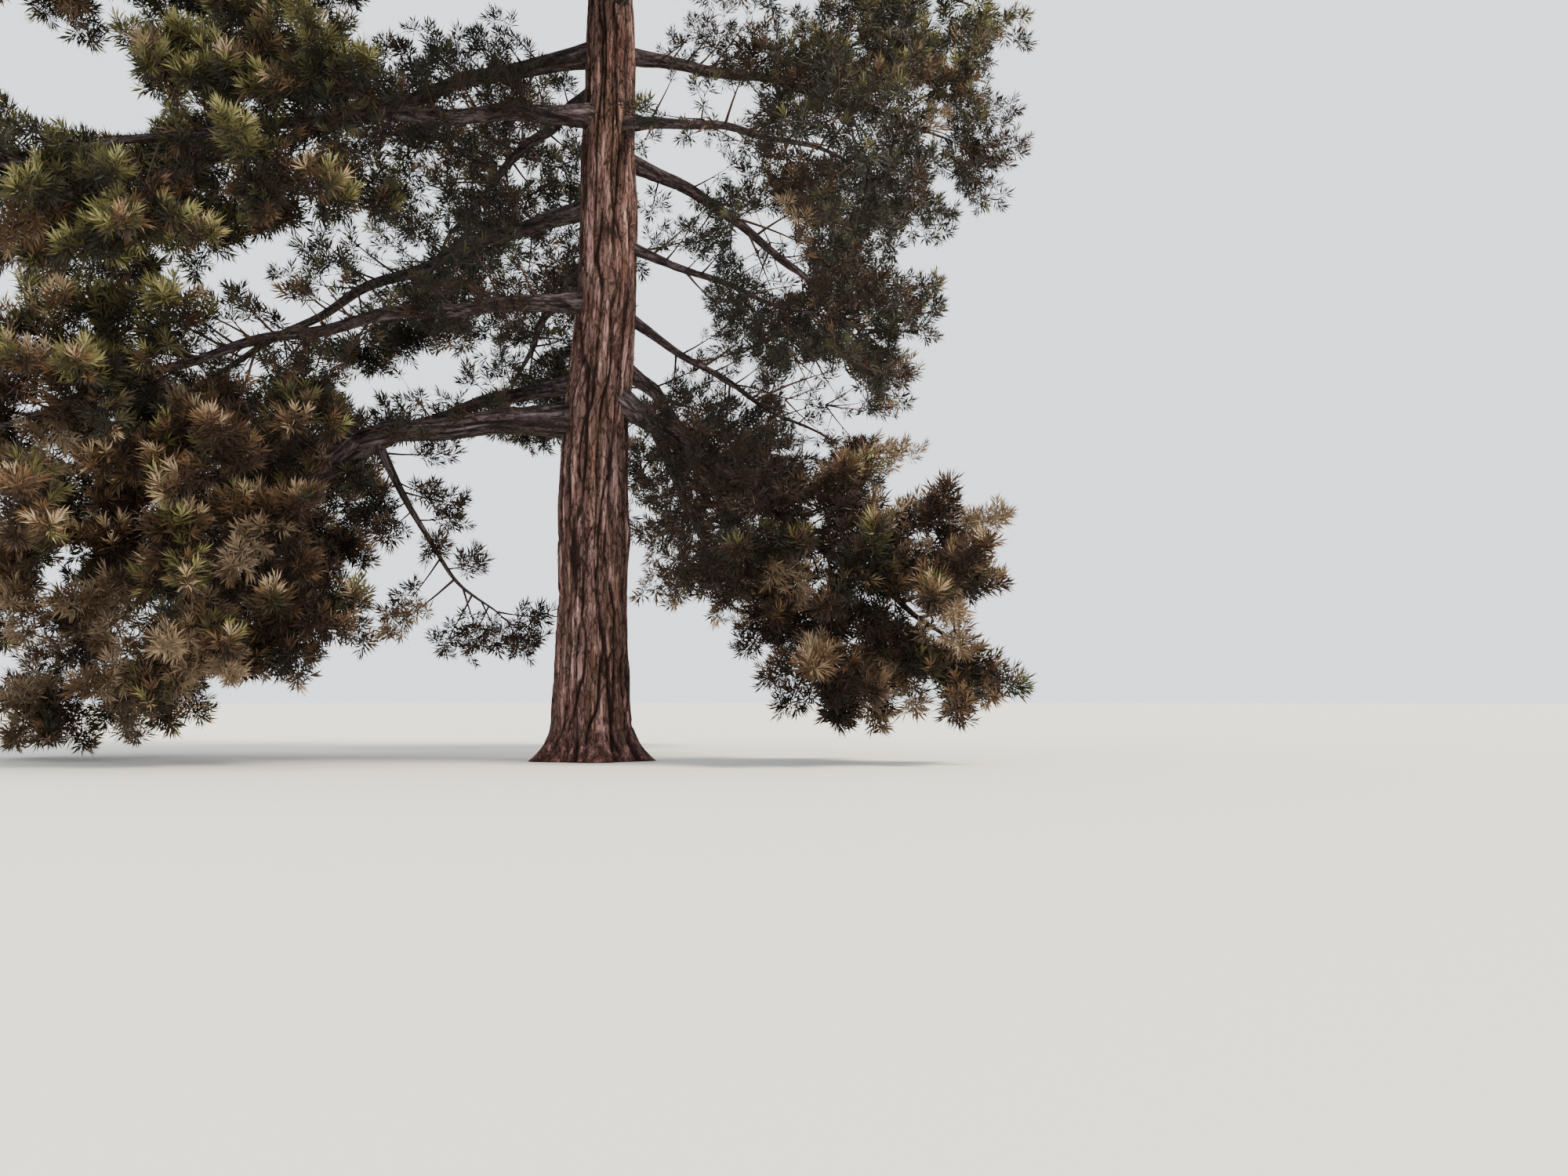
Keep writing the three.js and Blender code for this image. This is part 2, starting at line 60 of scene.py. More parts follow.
BUTTRESS_TURN = 34
LEAN = 0.2
LEAN_FROM = 4.3
LEAN_TO = 8.2

# Limbs
GAP = 0.0003
BOUGH_TAPER_POWER = 0.9
BOUGH_TIP_SHARE = 0.16
COLLAR_SHARE = 0.45
COLLAR_LENGTH = 0.42
KNEE_AT = 0.5

# Sprays
CORE_RADIUS = 0.24
ARM_LENGTH = 1.38
ARM_LEAST_SHARE = 0.8
ARM_NARROW = 28
ARM_WIDE = 78
ARM_DROOP = 0.14
ARMS = 4
ARM_CUTS = np.array([1, 0.75, 0.5])
PROBES = np.array([0.4, 0.7, 1])
ARM_GAP = 0.03
ARM_SHOULDER = 0.75
FEWEST_ARMS = 3
SPRAYS_PER_MASS = 15
TRIES_PER_MASS = 160
ROOT_DEPTH_SHARE = 0.4
TWIG_LONGEST = 2.5
TWIG_SHORTEST = 0.9
TWIG_LEAST_SHARE = 0.45
TWIG_ANGLE = 58
TWIGS_FROM = 0.05
TWIGS_TO = 0.97
TIP_TWIG_SHARE = 0.3
TIP_TWIG_SPREAD = 0.05
STEM_END = 0.995
GOLDEN_ANGLE = 137.508
PLACE_STEP = 0.754878
SEED_STEP = 500
SPRAY_SPACING = 0.95
SPACE_MARGIN = 0.06
LIMB_CLEARANCE = 0.09
GROUND_CLEARANCE = 0.12
BEAD_SPACING = 0.25

# The viewer's eye, and how many degrees over the horizon it looks
EYE = np.array([3.05, -24.3, 0.99])
LOOKS_UP = 4.12

# Sky shows through these ellipses on the upright plane through the trunk, seen from the viewer's
# eye: middle x and z, half sizes, turn. The last keeps only what grows before the trunk away.
SKY_GAPS = np.array(
    [
        [-1.95, 3.7, 1.5, 1.45, 0],
        [-4.45, 7.4, 2.5, 0.38, 28],
        [-2.4, 6.1, 1.7, 0.4, 18],
        [-8.9, 11.1, 1.7, 0.65, -25],
        [1.5, 9.7, 0.8, 0.5, 0],
        [1.15, 7.1, 0.5, 1.1, -20],
        [0, 5, 0.62, 7.5, 0],
    ]
)
# In these of them single tufts stand before the sky: this share of those that would grow there.
TUFTED_GAPS = [1, 2, 4]
TUFTED_SHARE = 0.5
# Smaller gaps inside the masses on the right, where only this share of the tufts stays
SMALL_GAPS = np.array(
    [
        [2.8, 8.25, 0.85, 0.5, -50],
        [3.75, 5.8, 0.8, 0.6, -25],
        [1.75, 10.65, 0.8, 0.4, 0],
    ]
)
SMALL_GAP_SHARE = 0.12

# Each bough: name, height of its foot on the trunk, bearing, reach, how far its knee rises, height
# of its far end over its foot, radius, share that is bare, and how strongly its twigs hang.
LOWER_BOUGHS = [
    ("left_first", 5.45, 184, 9.5, 0.05, -2.5, 0.225, 0.46, 0.45),
    ("left_second", 6.1, 158, 8.6, -0.2, -2.2, 0.13, 0.42, 0.5),
    ("left_third", 7.35, 204, 9.3, -0.3, -3, 0.135, 0.4, 0.3),
    ("left_fourth", 9, 160, 9.3, -0.5, -3, 0.14, 0.36, 0.3),
    ("left_fifth", 10.45, 213, 9.3, -0.7, -2.7, 0.15, 0.36, 0.2),
    ("left_sixth", 11.55, 177, 9.2, -0.7, -2.8, 0.15, 0.34, 0.15),
    ("left_seventh", 12.9, 197, 8.7, 0.6, -0.6, 0.14, 0.36, 0.1),
    ("right_first", 6, -14, 5.6, -2, -4.1, 0.16, 0.42, 0.35),
    ("right_second", 7.4, 27, 4.3, -1.3, -2, 0.075, 0.4, 0.25),
    ("right_third", 8.45, -9, 4, -1, -1.6, 0.075, 0.42, 0.2),
    ("right_fourth", 10.3, -36, 4.9, -0.3, -1.7, 0.1, 0.4, 0.2),
    ("right_fifth", 11.5, 14, 5.9, 0, -0.9, 0.11, 0.36, 0.1),
    ("back_first", 6.5, 72, 7.7, 0, -2.9, 0.15, 0.4, 0.4),
    ("back_second", 8.3, 112, 7.6, 0.3, -1, 0.14, 0.4, 0.2),
    ("back_third", 9.8, 52, 7.3, 0.2, -1.9, 0.13, 0.38, 0.2),
    ("back_fourth", 11, 124, 7.7, 0.3, -1.1, 0.13, 0.38, 0.15),
    ("front_first", 12.3, -60, 7.3, 0.7, -0.5, 0.13, 0.38, 0.1),
    ("front_second", 13.3, -112, 7.6, 0.9, -0.1, 0.13, 0.38, 0.1),
]
# The limbs that carry the curtain on the left leave this bough at a share of its curve.
CURTAIN_HOST = "left_first"
CURTAIN_LIMBS = [
    ("left_drape", 0.4, 214, 2.9, -1.3, -3.3, 0.085, 0.2, 0.3),
    ("left_skirt", 0.34, 168, 6.1, -1.7, -3.7, 0.095, 0.3, 0.3),
]
# Branches that droop from two boughs: the bough, then as above, with its share for the height.
DROOPING_BRANCHES = {
    "left_first": ("left_drooping", 0.37, 19, 2.12, -2.4, -2.9, 0.06, 1, 0),
    "right_first": ("right_drooping", 0.17, -20, 1.3, -1.7, -2.6, 0.08, 1, 0),
}
# Branchlets on the left one, in the sky under its bough: its share where each leaves, and the way
# from there to the tip
DROOPING_BRANCHLETS = [
    (0.06, 1.15, 0.2, 0.05),
    (0.1, -0.5, -0.3, -0.35),
    (0.12, -0.3, 0.2, -0.65),
    (0.16, 0.75, -0.4, -0.3),
    (0.2, 0.95, 0.3, -0.15),
    (0.24, -0.7, 0.3, -0.3),
    (0.28, -0.4, -0.3, -0.4),
    (0.32, 0.6, 0.3, 0.1),
    (0.38, 0.3, -0.5, -0.3),
    (0.5, -0.75, 0.3, -0.9),
    (0.56, 0.6, -0.3, 0.1),
    (0.62, -0.95, -0.5, -0.85),
    (0.68, 0.4, -0.4, -0.95),
    (0.74, -0.6, 0.4, -0.9),
    (0.8, 0.35, 0.4, -0.75),
    (0.86, -0.3, -0.4, -0.75),
    (0.92, 0.75, 0.4, -0.05),
    (0.96, 0.65, -0.3, -0.4),
    (1.0, 0.3, 0.3, -0.55),
]
TRUNK_TWIGS = 64
TRUNK_TWIGS_FROM = 14.5
UPPER_BOUGHS = 9
UPPER_FROM = 13.9
UPPER_TO = 21.2
UPPER_FIRST_TURN = 38
DOME_RADIUS = 8.1
DOME_BASE = 12.4
DOME_HEIGHT = 11.6
UPPER_REACH_LEAST = 0.92
UPPER_REACH_MOST = 1.04
UPPER_RADIUS_SHARE = 0.42
UPPER_HANG = 0.05
UPPER_RISE = (0.12, 0.24)
UPPER_DROP = (0.1, 0.32)
UPPER_BARE = (0.36, 0.26)
LEADER_LENGTH = 0.7
LEADER_RADIUS = 0.018
LEADER_REACH = 0.001
LENGTH_POINTS = 201  # along a limb, to measure its length by

# How a limb waves as it grows: how far, where along it the waves begin and are whole, where they
# fade out as a share of it, how fast they turn in radians a metre, and the upward one's share
WAVE_REACH = 0.055
WAVE_BEGINS = (0.6, 2.6)
WAVE_FADES = (1, 0.9)
WAVE_TURNS = (2.3, 3.1)
WAVE_UPWARD_SHARE = 0.7

# Bark, by its real measures on an old pine
PLATE_WIDTH = 0.15  # from one long furrow to the next, round the trunk
PLATE_LENGTH = 0.8  # from one break across a plate to the next
FURROW_DEPTH = 0.055
FURROW_POWER = 0.8  # the power of the girth that a furrow's depth follows
FURROW_GIRTH = 1.3  # times the trunk's own, past which furrows get no deeper
BOUGH_PLATE_WIDTH = 0.07
BOUGH_PLATE_LENGTH = 0.35
BOUGH_FURROW_SHARE = 0.12  # a bough's furrow depth over its radius
STOUT_BOUGH = 0.2  # a radius over which a bough's plates are as long as the trunk's
FEWEST_PLATES = 4
FURROW_SWAY = 0.62  # how far furrows sway and wobble, over the space between two
FURROW_WOBBLE = 0.2
FURROW_EDGES = (0.02, 0.42)  # the heights of its sine wave between which a furrow's side climbs
# Shares of the relief: where a furrow has filled up, the ridges and cracks of a plate, its flakes,
# and the height that lies at the limb's own radius
FILLED_SHARE = 0.55
RIDGE_HEIGHT = 0.2
CRACK_DEPTH = 0.5
FLAKE_HEIGHT = 0.14
PLATE_LEVEL = 0.72
# Seeds of the relief, and their steps: from bough to bough, and between its noise's cells
TRUNK_BARK_SEED = 1.5
BOUGH_BARK_SEED = 200
BOUGH_BARK_SEED_STEP = 17
COLUMN_STEP = 12.7
ROW_STEP = 311.3
# How far each of the bark's finer patterns stands out: its strength, and its height in metres
BARK_BUMPS = {"whole": (0.9, 0.02), "tone": (0.7, 0.012), "fibre": (1.0, 0.03)}
# The trunk's broad swellings: how many go round it, the length and the height of one, and a seed
SWELLINGS = [(5, 0.9, 0.036, 5), (9, 0.45, 0.018, 8)]
TRUNK_COLUMNS = 186
TRUNK_ROWS_BELOW = 410  # rows of the bark's mesh below the height that follows, and above it
TRUNK_ROWS_SPLIT = 12.5
TRUNK_ROWS_ABOVE = 115
BOUGH_COLUMNS = (12, 46)
BOUGH_COLUMN_WIDTH = 0.032
BOUGH_ROW_LENGTH = 0.075
BOUGH_SKIN_FROM = 0.4  # of its host's radius, where a bough's skin begins

# Twigs: the radius of each kind at its foot, and what each metre of its length adds to that
TWIG_RADII = {
    "twig": (0.009, 0.013),
    "arm": (0.007, 0.009),
    "branchlet": (0.01, 0.012),
    "shoot": (0.006, 0.014),
}
TWIG_ARCH = 0.09  # how far a twig's knee rises, over its length
TWIG_PAST = 0.1  # how far a twig runs on past its spray's middle
ARM_SAG = 0.1  # how far an arm's knee sinks, over its length
ARM_END = 0.93  # the share of its solid's length that an arm has
BRANCHLET_SAG = 0.06
BRANCHLET_BARE = (0.22, 0.13)  # the share that is bare, and what each metre adds to it
BRANCHLET_SHOOTS_TO = 0.95
LIMB_BRANCHLET = (0.5, 1.1)  # the length of one, and what chance adds to it
TRUNK_BRANCHLET = (0.9, 1.1)
TRUNK_BRANCHLET_RISE = (0.3, 0.6)  # how steeply one rises, and what chance adds to it
TRUNK_BRANCHLETS_CLOSE = 0.8  # a power under 1 sets them closer as they climb
TWIG_RINGS = 6  # of points along the mesh of a twig
ARM_RINGS = 4
SHOOT_RINGS = 1

# Branchlets along a limb: where they begin and the share that they take, the first one's turn, how
# flat they fan out, how far they point along the limb and lift, the steepest that hangs and the
# lowest tip that are kept, how far past the bare part they stay close, and the share kept beyond
LIMB_BRANCHLETS_ALONG = (0.12, 0.86)
LIMB_BRANCHLET_TURN = 40
LIMB_BRANCHLET_FLATNESS = 0.8
LIMB_BRANCHLET_FORWARD = 0.55
LIMB_BRANCHLET_LIFT = 0.2
LIMB_BRANCHLET_HANG = -0.6
LIMB_BRANCHLET_LOWEST = 0.4
CLOSE_PAST_BARE = 0.15
KEPT_ON_STEM = 0.5

# Where the seeds of the branchlets begin, and the step from one limb's to the next
LIMB_SEED = 9000.0
LIMB_SEED_STEP = 100
TRUNK_SEED = 7000.0
DROOPING_SEED = 8000.0

# Shoots: how many there are, where along the twig they begin and the share of it that they take,
# their length, their lean and how strongly they lift towards the light
TWIG_SHOOTS = 6
TWIG_SHOOTS_LEAST = 2
TWIG_SHOOTS_MORE = 5
TWIG_SHOOTS_ALONG = (0.42, 0.56)
ARM_SHOOTS_ALONG = (0.04, 0.9)
LIMB_BRANCHLET_SHOOTS = 4
TRUNK_BRANCHLET_SHOOTS = 6
DROOPING_BRANCHLET_SHOOTS = 9
TWIG_SHOOT = 0.36
ARM_SHOOT = (0.4, 0.24)  # at the arm's foot, and how much shorter at its end
BRANCHLET_SHOOT = 0.25
SHOOT_LEAN = 55
SHOOT_LIFT = 0.3
ARM_SHOOT_LEAN = 52
ARM_SHOOT_LIFT = 0.32
LEAN_CHANCE = 20
SHOOT_SIZES = (0.65, 0.6)  # the least share of its length, and what chance adds
TUFT_LIFT = 0.4  # of the tuft at the end of an arm or a branchlet, and of one on a shoot
SHOOT_TUFT_LIFT = 0.35
TWIN_FROM = 0.27  # the length of shoot over which a second one leaves its side
TWIN_LENGTH = 0.13
TWIN_RADIUS = 0.007

# Needles
NEEDLE_LENGTH = 0.15
NEEDLE_BREADTH = 0.118  # of a needle that stands for several, over its length
NEEDLES = 30  # in a tuft
# The older needles behind these take the next darker pair of tones: partly their age, partly painted
# shade inside the tuft
YOUNG_NEEDLES = 13  # at the end of each tuft, lighter than the older ones behind them
TUFT_LENGTH = 0.16  # of shoot that carries needles
NEEDLE_LEANS = (12, 66)  # at the shoot's end, and how much further at the tuft's back
NEEDLE_SCATTER = 0.4  # of a needle's lean, in radians
TURN_SCATTER = 0.9  # of its turn round the shoot
NEEDLE_SIZES = (0.8, 0.4)  # the least share of its length, and what chance adds
TUFT_SIZES = (0.85, 0.3)  # the same for a whole tuft
INNER_TUFT = 0.85  # the size of a tuft near the trunk, over one out at the crown's edge
INNER_TO_OUTER = (1.5, 5.5)  # out from the trunk

# Painted light: the light that a tuft gets, from 0 to 1, chooses the tones of its needles. A base
# for each kind of twig, and what is added to it
TWIG_LIGHT = 0.38
ARM_LIGHT = 0.42
ARM_END_LIGHT = 0.6
LIGHT_FROM_ABOVE = 0.3  # for a shoot that stands upright
LIGHT_ALONG_ARM = 0.2
SHADE = 0.18  # taken from all, and more than made up for at the crown's edge
OPEN_LIGHT = 0.3
OPEN_FROM = (1.5, 6.5)  # out from the trunk, from full shade to the open
SPRAY_CHANCE = 0.24  # what chance deals to a spray, and to a tuft
TUFT_CHANCE = 0.34
LEAST_LIGHT = 0.01
# Painted shade on the right: from where to where along X it comes in, between which heights it
# does, how deep it is low down and what is added to that higher up, and between which heights
RIGHT_SIDE = (-1, 4)
RIGHT_HEIGHTS = (14, 9)
RIGHT_SHADE = (0.16, 0.14)
RIGHT_SHADE_HEIGHTS = (5, 7)
# Dried needles: the mark of a spray that has them, its chance of that high up and what is added
# low down, between which heights, and between which distances from the trunk they come in
DRY = -9
DRY_SHARES = (0.05, 0.26)
DRY_HEIGHTS = (6, 2.5)
DRY_FROM = (2.5, 5.5)

UP = np.array([0.0, 0.0, 1.0])


def chance(seed):
    """A number from 0 to 1 that looks random and is always the same for one seed: what is left of a
    steep sine wave's height after its whole part. Where a seed deals out several things, each of
    them takes it times or plus a number of its own."""
    wave = np.sin(np.asarray(seed, float) * 12.9898 + 4.1414) * 43758.5453
    return wave - np.floor(wave)


def smooth(low, high, value):
    """0 before low, 1 past high, and an S-curve between. low may be the larger of the two."""
    share = np.clip((np.asarray(value, float) - low) / (high - low), 0, 1)
    return share * share * (3 - 2 * share)


def length_of(vectors):
    """The length of each vector, with its last axis kept."""
    return np.linalg.norm(vectors, axis=-1, keepdims=True)


def unit(vectors):
    """Each vector over its length."""
    return vectors / np.maximum(length_of(vectors), 1e-12)


def outward(bearing):
    """The level direction of a bearing: its cosine along X and its sine along Y."""
    return np.array([math.cos(math.radians(bearing)), math.sin(math.radians(bearing)), 0])


def square_to(along):
    """The two directions square to each direction: one level, which is up crossed with it, and one
    that rises, which is it crossed with the level one."""
    level = np.cross(UP, along)
    level = np.where(length_of(level) > 1e-9, unit(level), [1.0, 0.0, 0.0])
    return level, np.cross(along, level)


def square_way(way, angle):
    """A direction square to each way, at an angle round it: the level one times the angle's cosine
    and the rising one times its sine."""
    level, rising = square_to(way)
    return level * np.cos(angle) + rising * np.sin(angle)


def trunk_middle(height):
    """The trunk's middle: straight up, with an S-shaped step to the right between two heights."""
    height = np.asarray(height, float)
    shift = LEAN * smooth(LEAN_FROM, LEAN_TO, height)
    return np.stack([shift, np.zeros_like(height), height], axis=-1)


def trunk_radius(height):
    """The trunk's radius: a power taper, with a flare at the ground that falls off evenly."""
    height = np.asarray(height, float)
    taper = 1 - (height / TRUNK_TOP) ** TRUNK_TAPER_POWER
    return TRUNK_TIP_RADIUS + TRUNK_RADIUS * taper + FLARE_RADIUS * np.exp(-height / FLARE_HEIGHT)


def buttress(height, angle):
    """How far the roots push the bark out: a wave round the trunk that fades as the flare does."""
    wave = np.cos(BUTTRESSES * angle + math.radians(BUTTRESS_TURN))
    return FLARE_RADIUS * BUTTRESS_DEPTH * np.exp(-height / FLARE_HEIGHT) * wave


class Limb:
    """A bough and the stem of foliage that carries on from it, as a curve with a radius.

    The curve is the parabola from its foot to its tip that a knee halfway steers. The radius falls
    by a power of what is left of the curve, and swells in a collar where the limb leaves its host.
    """

    def __init__(self, plan, foot, host_radius):
        """A limb by its row of a table, from its foot in the middle of a host."""
        self.name, _, turn, reach, rise, drop, self.radius, self.bare, self.hang = plan
        self.foot = foot
        self.knee = foot + outward(turn) * reach * KNEE_AT + UP * rise
        self.tip = foot + outward(turn) * reach + UP * drop
        self.host_radius = host_radius
        steps = self.point(np.linspace(0, 1, LENGTH_POINTS))
        self.length = float(length_of(np.diff(steps, axis=0)).sum())

    def point(self, share):
        """(1 - t)^2 times the foot, 2t(1 - t) times the knee and t^2 times the tip."""
        t = np.asarray(share, float)[..., None]
        return (1 - t) ** 2 * self.foot + 2 * (1 - t) * t * self.knee + t * t * self.tip

    def direction(self, share):
        """The way from just before a share to just after it."""
        share = np.asarray(share, float)
        near = 1e-4
        after = self.point(np.minimum(share + near, 1))
        return unit(after - self.point(np.maximum(share - near, 0)))

    def thickness(self, share):
        """The radius at a share of the curve."""
        share = np.asarray(share, float)
        taper = BOUGH_TIP_SHARE + (1 - BOUGH_TIP_SHARE) * (1 - share) ** BOUGH_TAPER_POWER
        past = np.maximum(0, share * self.length - self.host_radius)
        return self.radius * (taper + COLLAR_SHARE * np.exp(-past / COLLAR_LENGTH))

    def beads(self, low, high):
        """Points and radii along part of the curve, close enough to measure distances from."""
        count = 2 + math.ceil(self.length * (high - low) / BEAD_SPACING)
        share = low + (high - low) * np.arange(count) / (count - 1)
        return self.point(share), self.thickness(share)

    def grown_point(self, share):
        """The curve as it grew: with two slow waves square to it, a hand's breadth or less, that
        start from nothing at the foot."""
        share = np.asarray(share, float)
        level, rising = square_to(self.direction(share))
        run = share * self.length
        reach = WAVE_REACH * smooth(*WAVE_BEGINS, run) * smooth(*WAVE_FADES, share)
        starts = 2 * math.pi * chance(self.length + np.arange(2))
        sideways = reach * np.sin(run * WAVE_TURNS[0] + starts[0])
        upward = WAVE_UPWARD_SHARE * reach * np.sin(run * WAVE_TURNS[1] + starts[1])
        return self.point(share) + level * sideways[..., None] + rising * upward[..., None]


def grow_limbs():
    """Every limb in the order of the solids, with the leader last."""
    limbs = [Limb(plan, trunk_middle(plan[1]), trunk_radius(plan[1])) for plan in LOWER_BOUGHS]
    host = next(limb for limb in limbs if limb.name == CURTAIN_HOST)
    limbs += [Limb(plan, host.point(plan[1]), host.thickness(plan[1])) for plan in CURTAIN_LIMBS]
    for i in range(UPPER_BOUGHS):
        share = i / (UPPER_BOUGHS - 1)
        height = UPPER_FROM + (UPPER_TO - UPPER_FROM) * share
        rise, drop, bare = (a + (b - a) * share for a, b in (UPPER_RISE, UPPER_DROP, UPPER_BARE))
        dome = DOME_RADIUS * math.sqrt(1 - ((height - DOME_BASE) / DOME_HEIGHT) ** 2)
        spread = UPPER_REACH_MOST - UPPER_REACH_LEAST
        reach = dome * (UPPER_REACH_LEAST + spread * float(chance(i + 1)))
        turn = UPPER_FIRST_TURN + GOLDEN_ANGLE * i
        radius = float(trunk_radius(height)) * UPPER_RADIUS_SHARE
        plan = (f"upper_{i + 1}", height, turn, reach, reach * rise, reach * drop, radius, bare)
        limbs.append(Limb((*plan, UPPER_HANG), trunk_middle(height), float(trunk_radius(height))))
    foot = trunk_middle(TRUNK_TOP) + UP * GAP
    rise, drop = LEADER_LENGTH / 2, LEADER_LENGTH
    plan = ("top", 0, 0, LEADER_REACH, rise, drop, LEADER_RADIUS, 0, 0)
    return limbs + [Limb(plan, foot, 0)]


def trunk_beads():
    """The trunk as points with radii, from the ground to its tip."""
    height = np.linspace(0, TRUNK_TOP, math.ceil(TRUNK_TOP / BEAD_SPACING) + 1)
    return trunk_middle(height), trunk_radius(height)


def distances(points, beads):
    """The distance from each point to each bead: the root of the two squares less twice the dot."""
    square = (points**2).sum(-1)[..., None] + (beads**2).sum(-1) - 2 * points @ beads.T
    return np.sqrt(np.maximum(square, 0))


def gaps_at(points, gaps):
    """For each point and each gap, whether the point is seen in it: the point is carried along the
    viewer's line of sight to the plane of the trunk, and tested against each turned ellipse."""
    share = -EYE[1] / (points[..., 1] - EYE[1])
    seen = EYE + (points - EYE) * share[..., None]
    x, z, half_width, half_height = gaps[:, :4].T
    turn = np.radians(gaps[:, 4])
    right = seen[..., 0, None] - x
    over = seen[..., 2, None] - z
    across = right * np.cos(turn) + over * np.sin(turn)
    upward = over * np.cos(turn) - right * np.sin(turn)
    return np.hypot(across / half_width, upward / half_height) < 1


def sky_gaps_at(points):
    """For each point and each of the masses' gaps, whether sky shows there."""
    inside = gaps_at(points, SKY_GAPS)
    inside[..., -1] &= points[..., 1] <= -TRUNK_RADIUS
    return inside


def in_sky_gap(points):
    """Whether sky shows at each point, through any of the gaps."""
    return sky_gaps_at(points).any(-1)


def segment_gap(start, end, starts, ends):
    """The least distance between one straight line and each of several, and the shares of both
    where it lies: each share is solved for the other and held between 0 and 1."""
    one, many, between = end - start, ends - starts, start - starts
    a, e = one @ one, (many * many).sum(-1)
    b, c, f = many @ one, between @ one, (many * between).sum(-1)
    s = np.clip((b * f - c * e) / np.maximum(a * e - b * b, 1e-12), 0, 1)
    t = (b * s + f) / e
    s = np.where(t < 0, np.clip(-c / a, 0, 1), np.where(t > 1, np.clip((b - c) / a, 0, 1), s))
    t = np.clip(t, 0, 1)
    apart = start + one * s[:, None] - starts - many * t[:, None]
    return np.linalg.norm(apart, axis=-1), s, t


class Spikes:
    """The twigs and arms of one mass as straight lines with a radius at either end."""

    def __init__(self):
        """None at first."""
        self.lines = []

    def meet(self, start, end, start_radius, end_radius):
        """Whether a new line comes nearer to one of these than their radii and the gap allow."""
        if not self.lines:
            return False
        starts, ends, radii = (np.array(column) for column in zip(*self.lines))
        gap, s, t = segment_gap(start, end, starts, ends)
        own = start_radius + (end_radius - start_radius) * s
        other = radii[:, 0] + (radii[:, 1] - radii[:, 0]) * t
        return bool((gap < own + other + ARM_GAP).any())


def spray_plans(limb, index):
    """The twig and spray of every try of a mass, by the seeded rule, as arrays over the tries."""
    k = np.arange(TRIES_PER_MASS)
    seed = index * SEED_STEP + k
    place = np.where(k == 0, 1, TWIGS_FROM + (TWIGS_TO - TWIGS_FROM) * ((k * PLACE_STEP) % 1))
    share = limb.bare + (1 - limb.bare) * place
    along = limb.direction(share)
    level, rising = square_to(along)
    roll = np.radians(GOLDEN_ANGLE * k)[:, None]
    spread = np.where(k == 0, TIP_TWIG_SPREAD, math.sin(math.radians(TWIG_ANGLE)))[:, None]
    way = along * math.cos(math.radians(TWIG_ANGLE)) - UP * limb.hang
    way = unit(way + level * spread * np.cos(roll) + rising * spread * np.sin(roll))
    longest = TWIG_LONGEST + (TWIG_SHORTEST - TWIG_LONGEST) * place
    grown = longest * (TWIG_LEAST_SHARE + (1 - TWIG_LEAST_SHARE) * chance(seed))
    size = np.where(k == 0, TIP_TWIG_SHARE * TWIG_SHORTEST, grown)[:, None]
    at = np.minimum(share, STEM_END)
    middle = limb.point(at) + way * size
    root = limb.point(at) - way * ROOT_DEPTH_SHARE * limb.thickness(at)[:, None]
    i = np.arange(ARMS)
    angle = math.pi * chance(seed + 0.5)[:, None] + 2 * math.pi * i / ARMS
    corner = square_way(way[:, None], angle[..., None])
    between = unit(corner + np.roll(corner, -1, axis=1))
    lean = chance(seed[:, None] + i + 0.25)
    lean = np.radians(ARM_NARROW + (ARM_WIDE - ARM_NARROW) * lean)[..., None]
    reach = unit(way[:, None] * np.cos(lean) + between * np.sin(lean) - UP * ARM_DROOP)
    grown = ARM_LEAST_SHARE + (1 - ARM_LEAST_SHARE) * chance(seed[:, None] + i + 0.75)
    reach = reach * ARM_LENGTH * grown[..., None]
    return {"at": at, "root": root, "middle": middle, "way": way, "reach": reach}


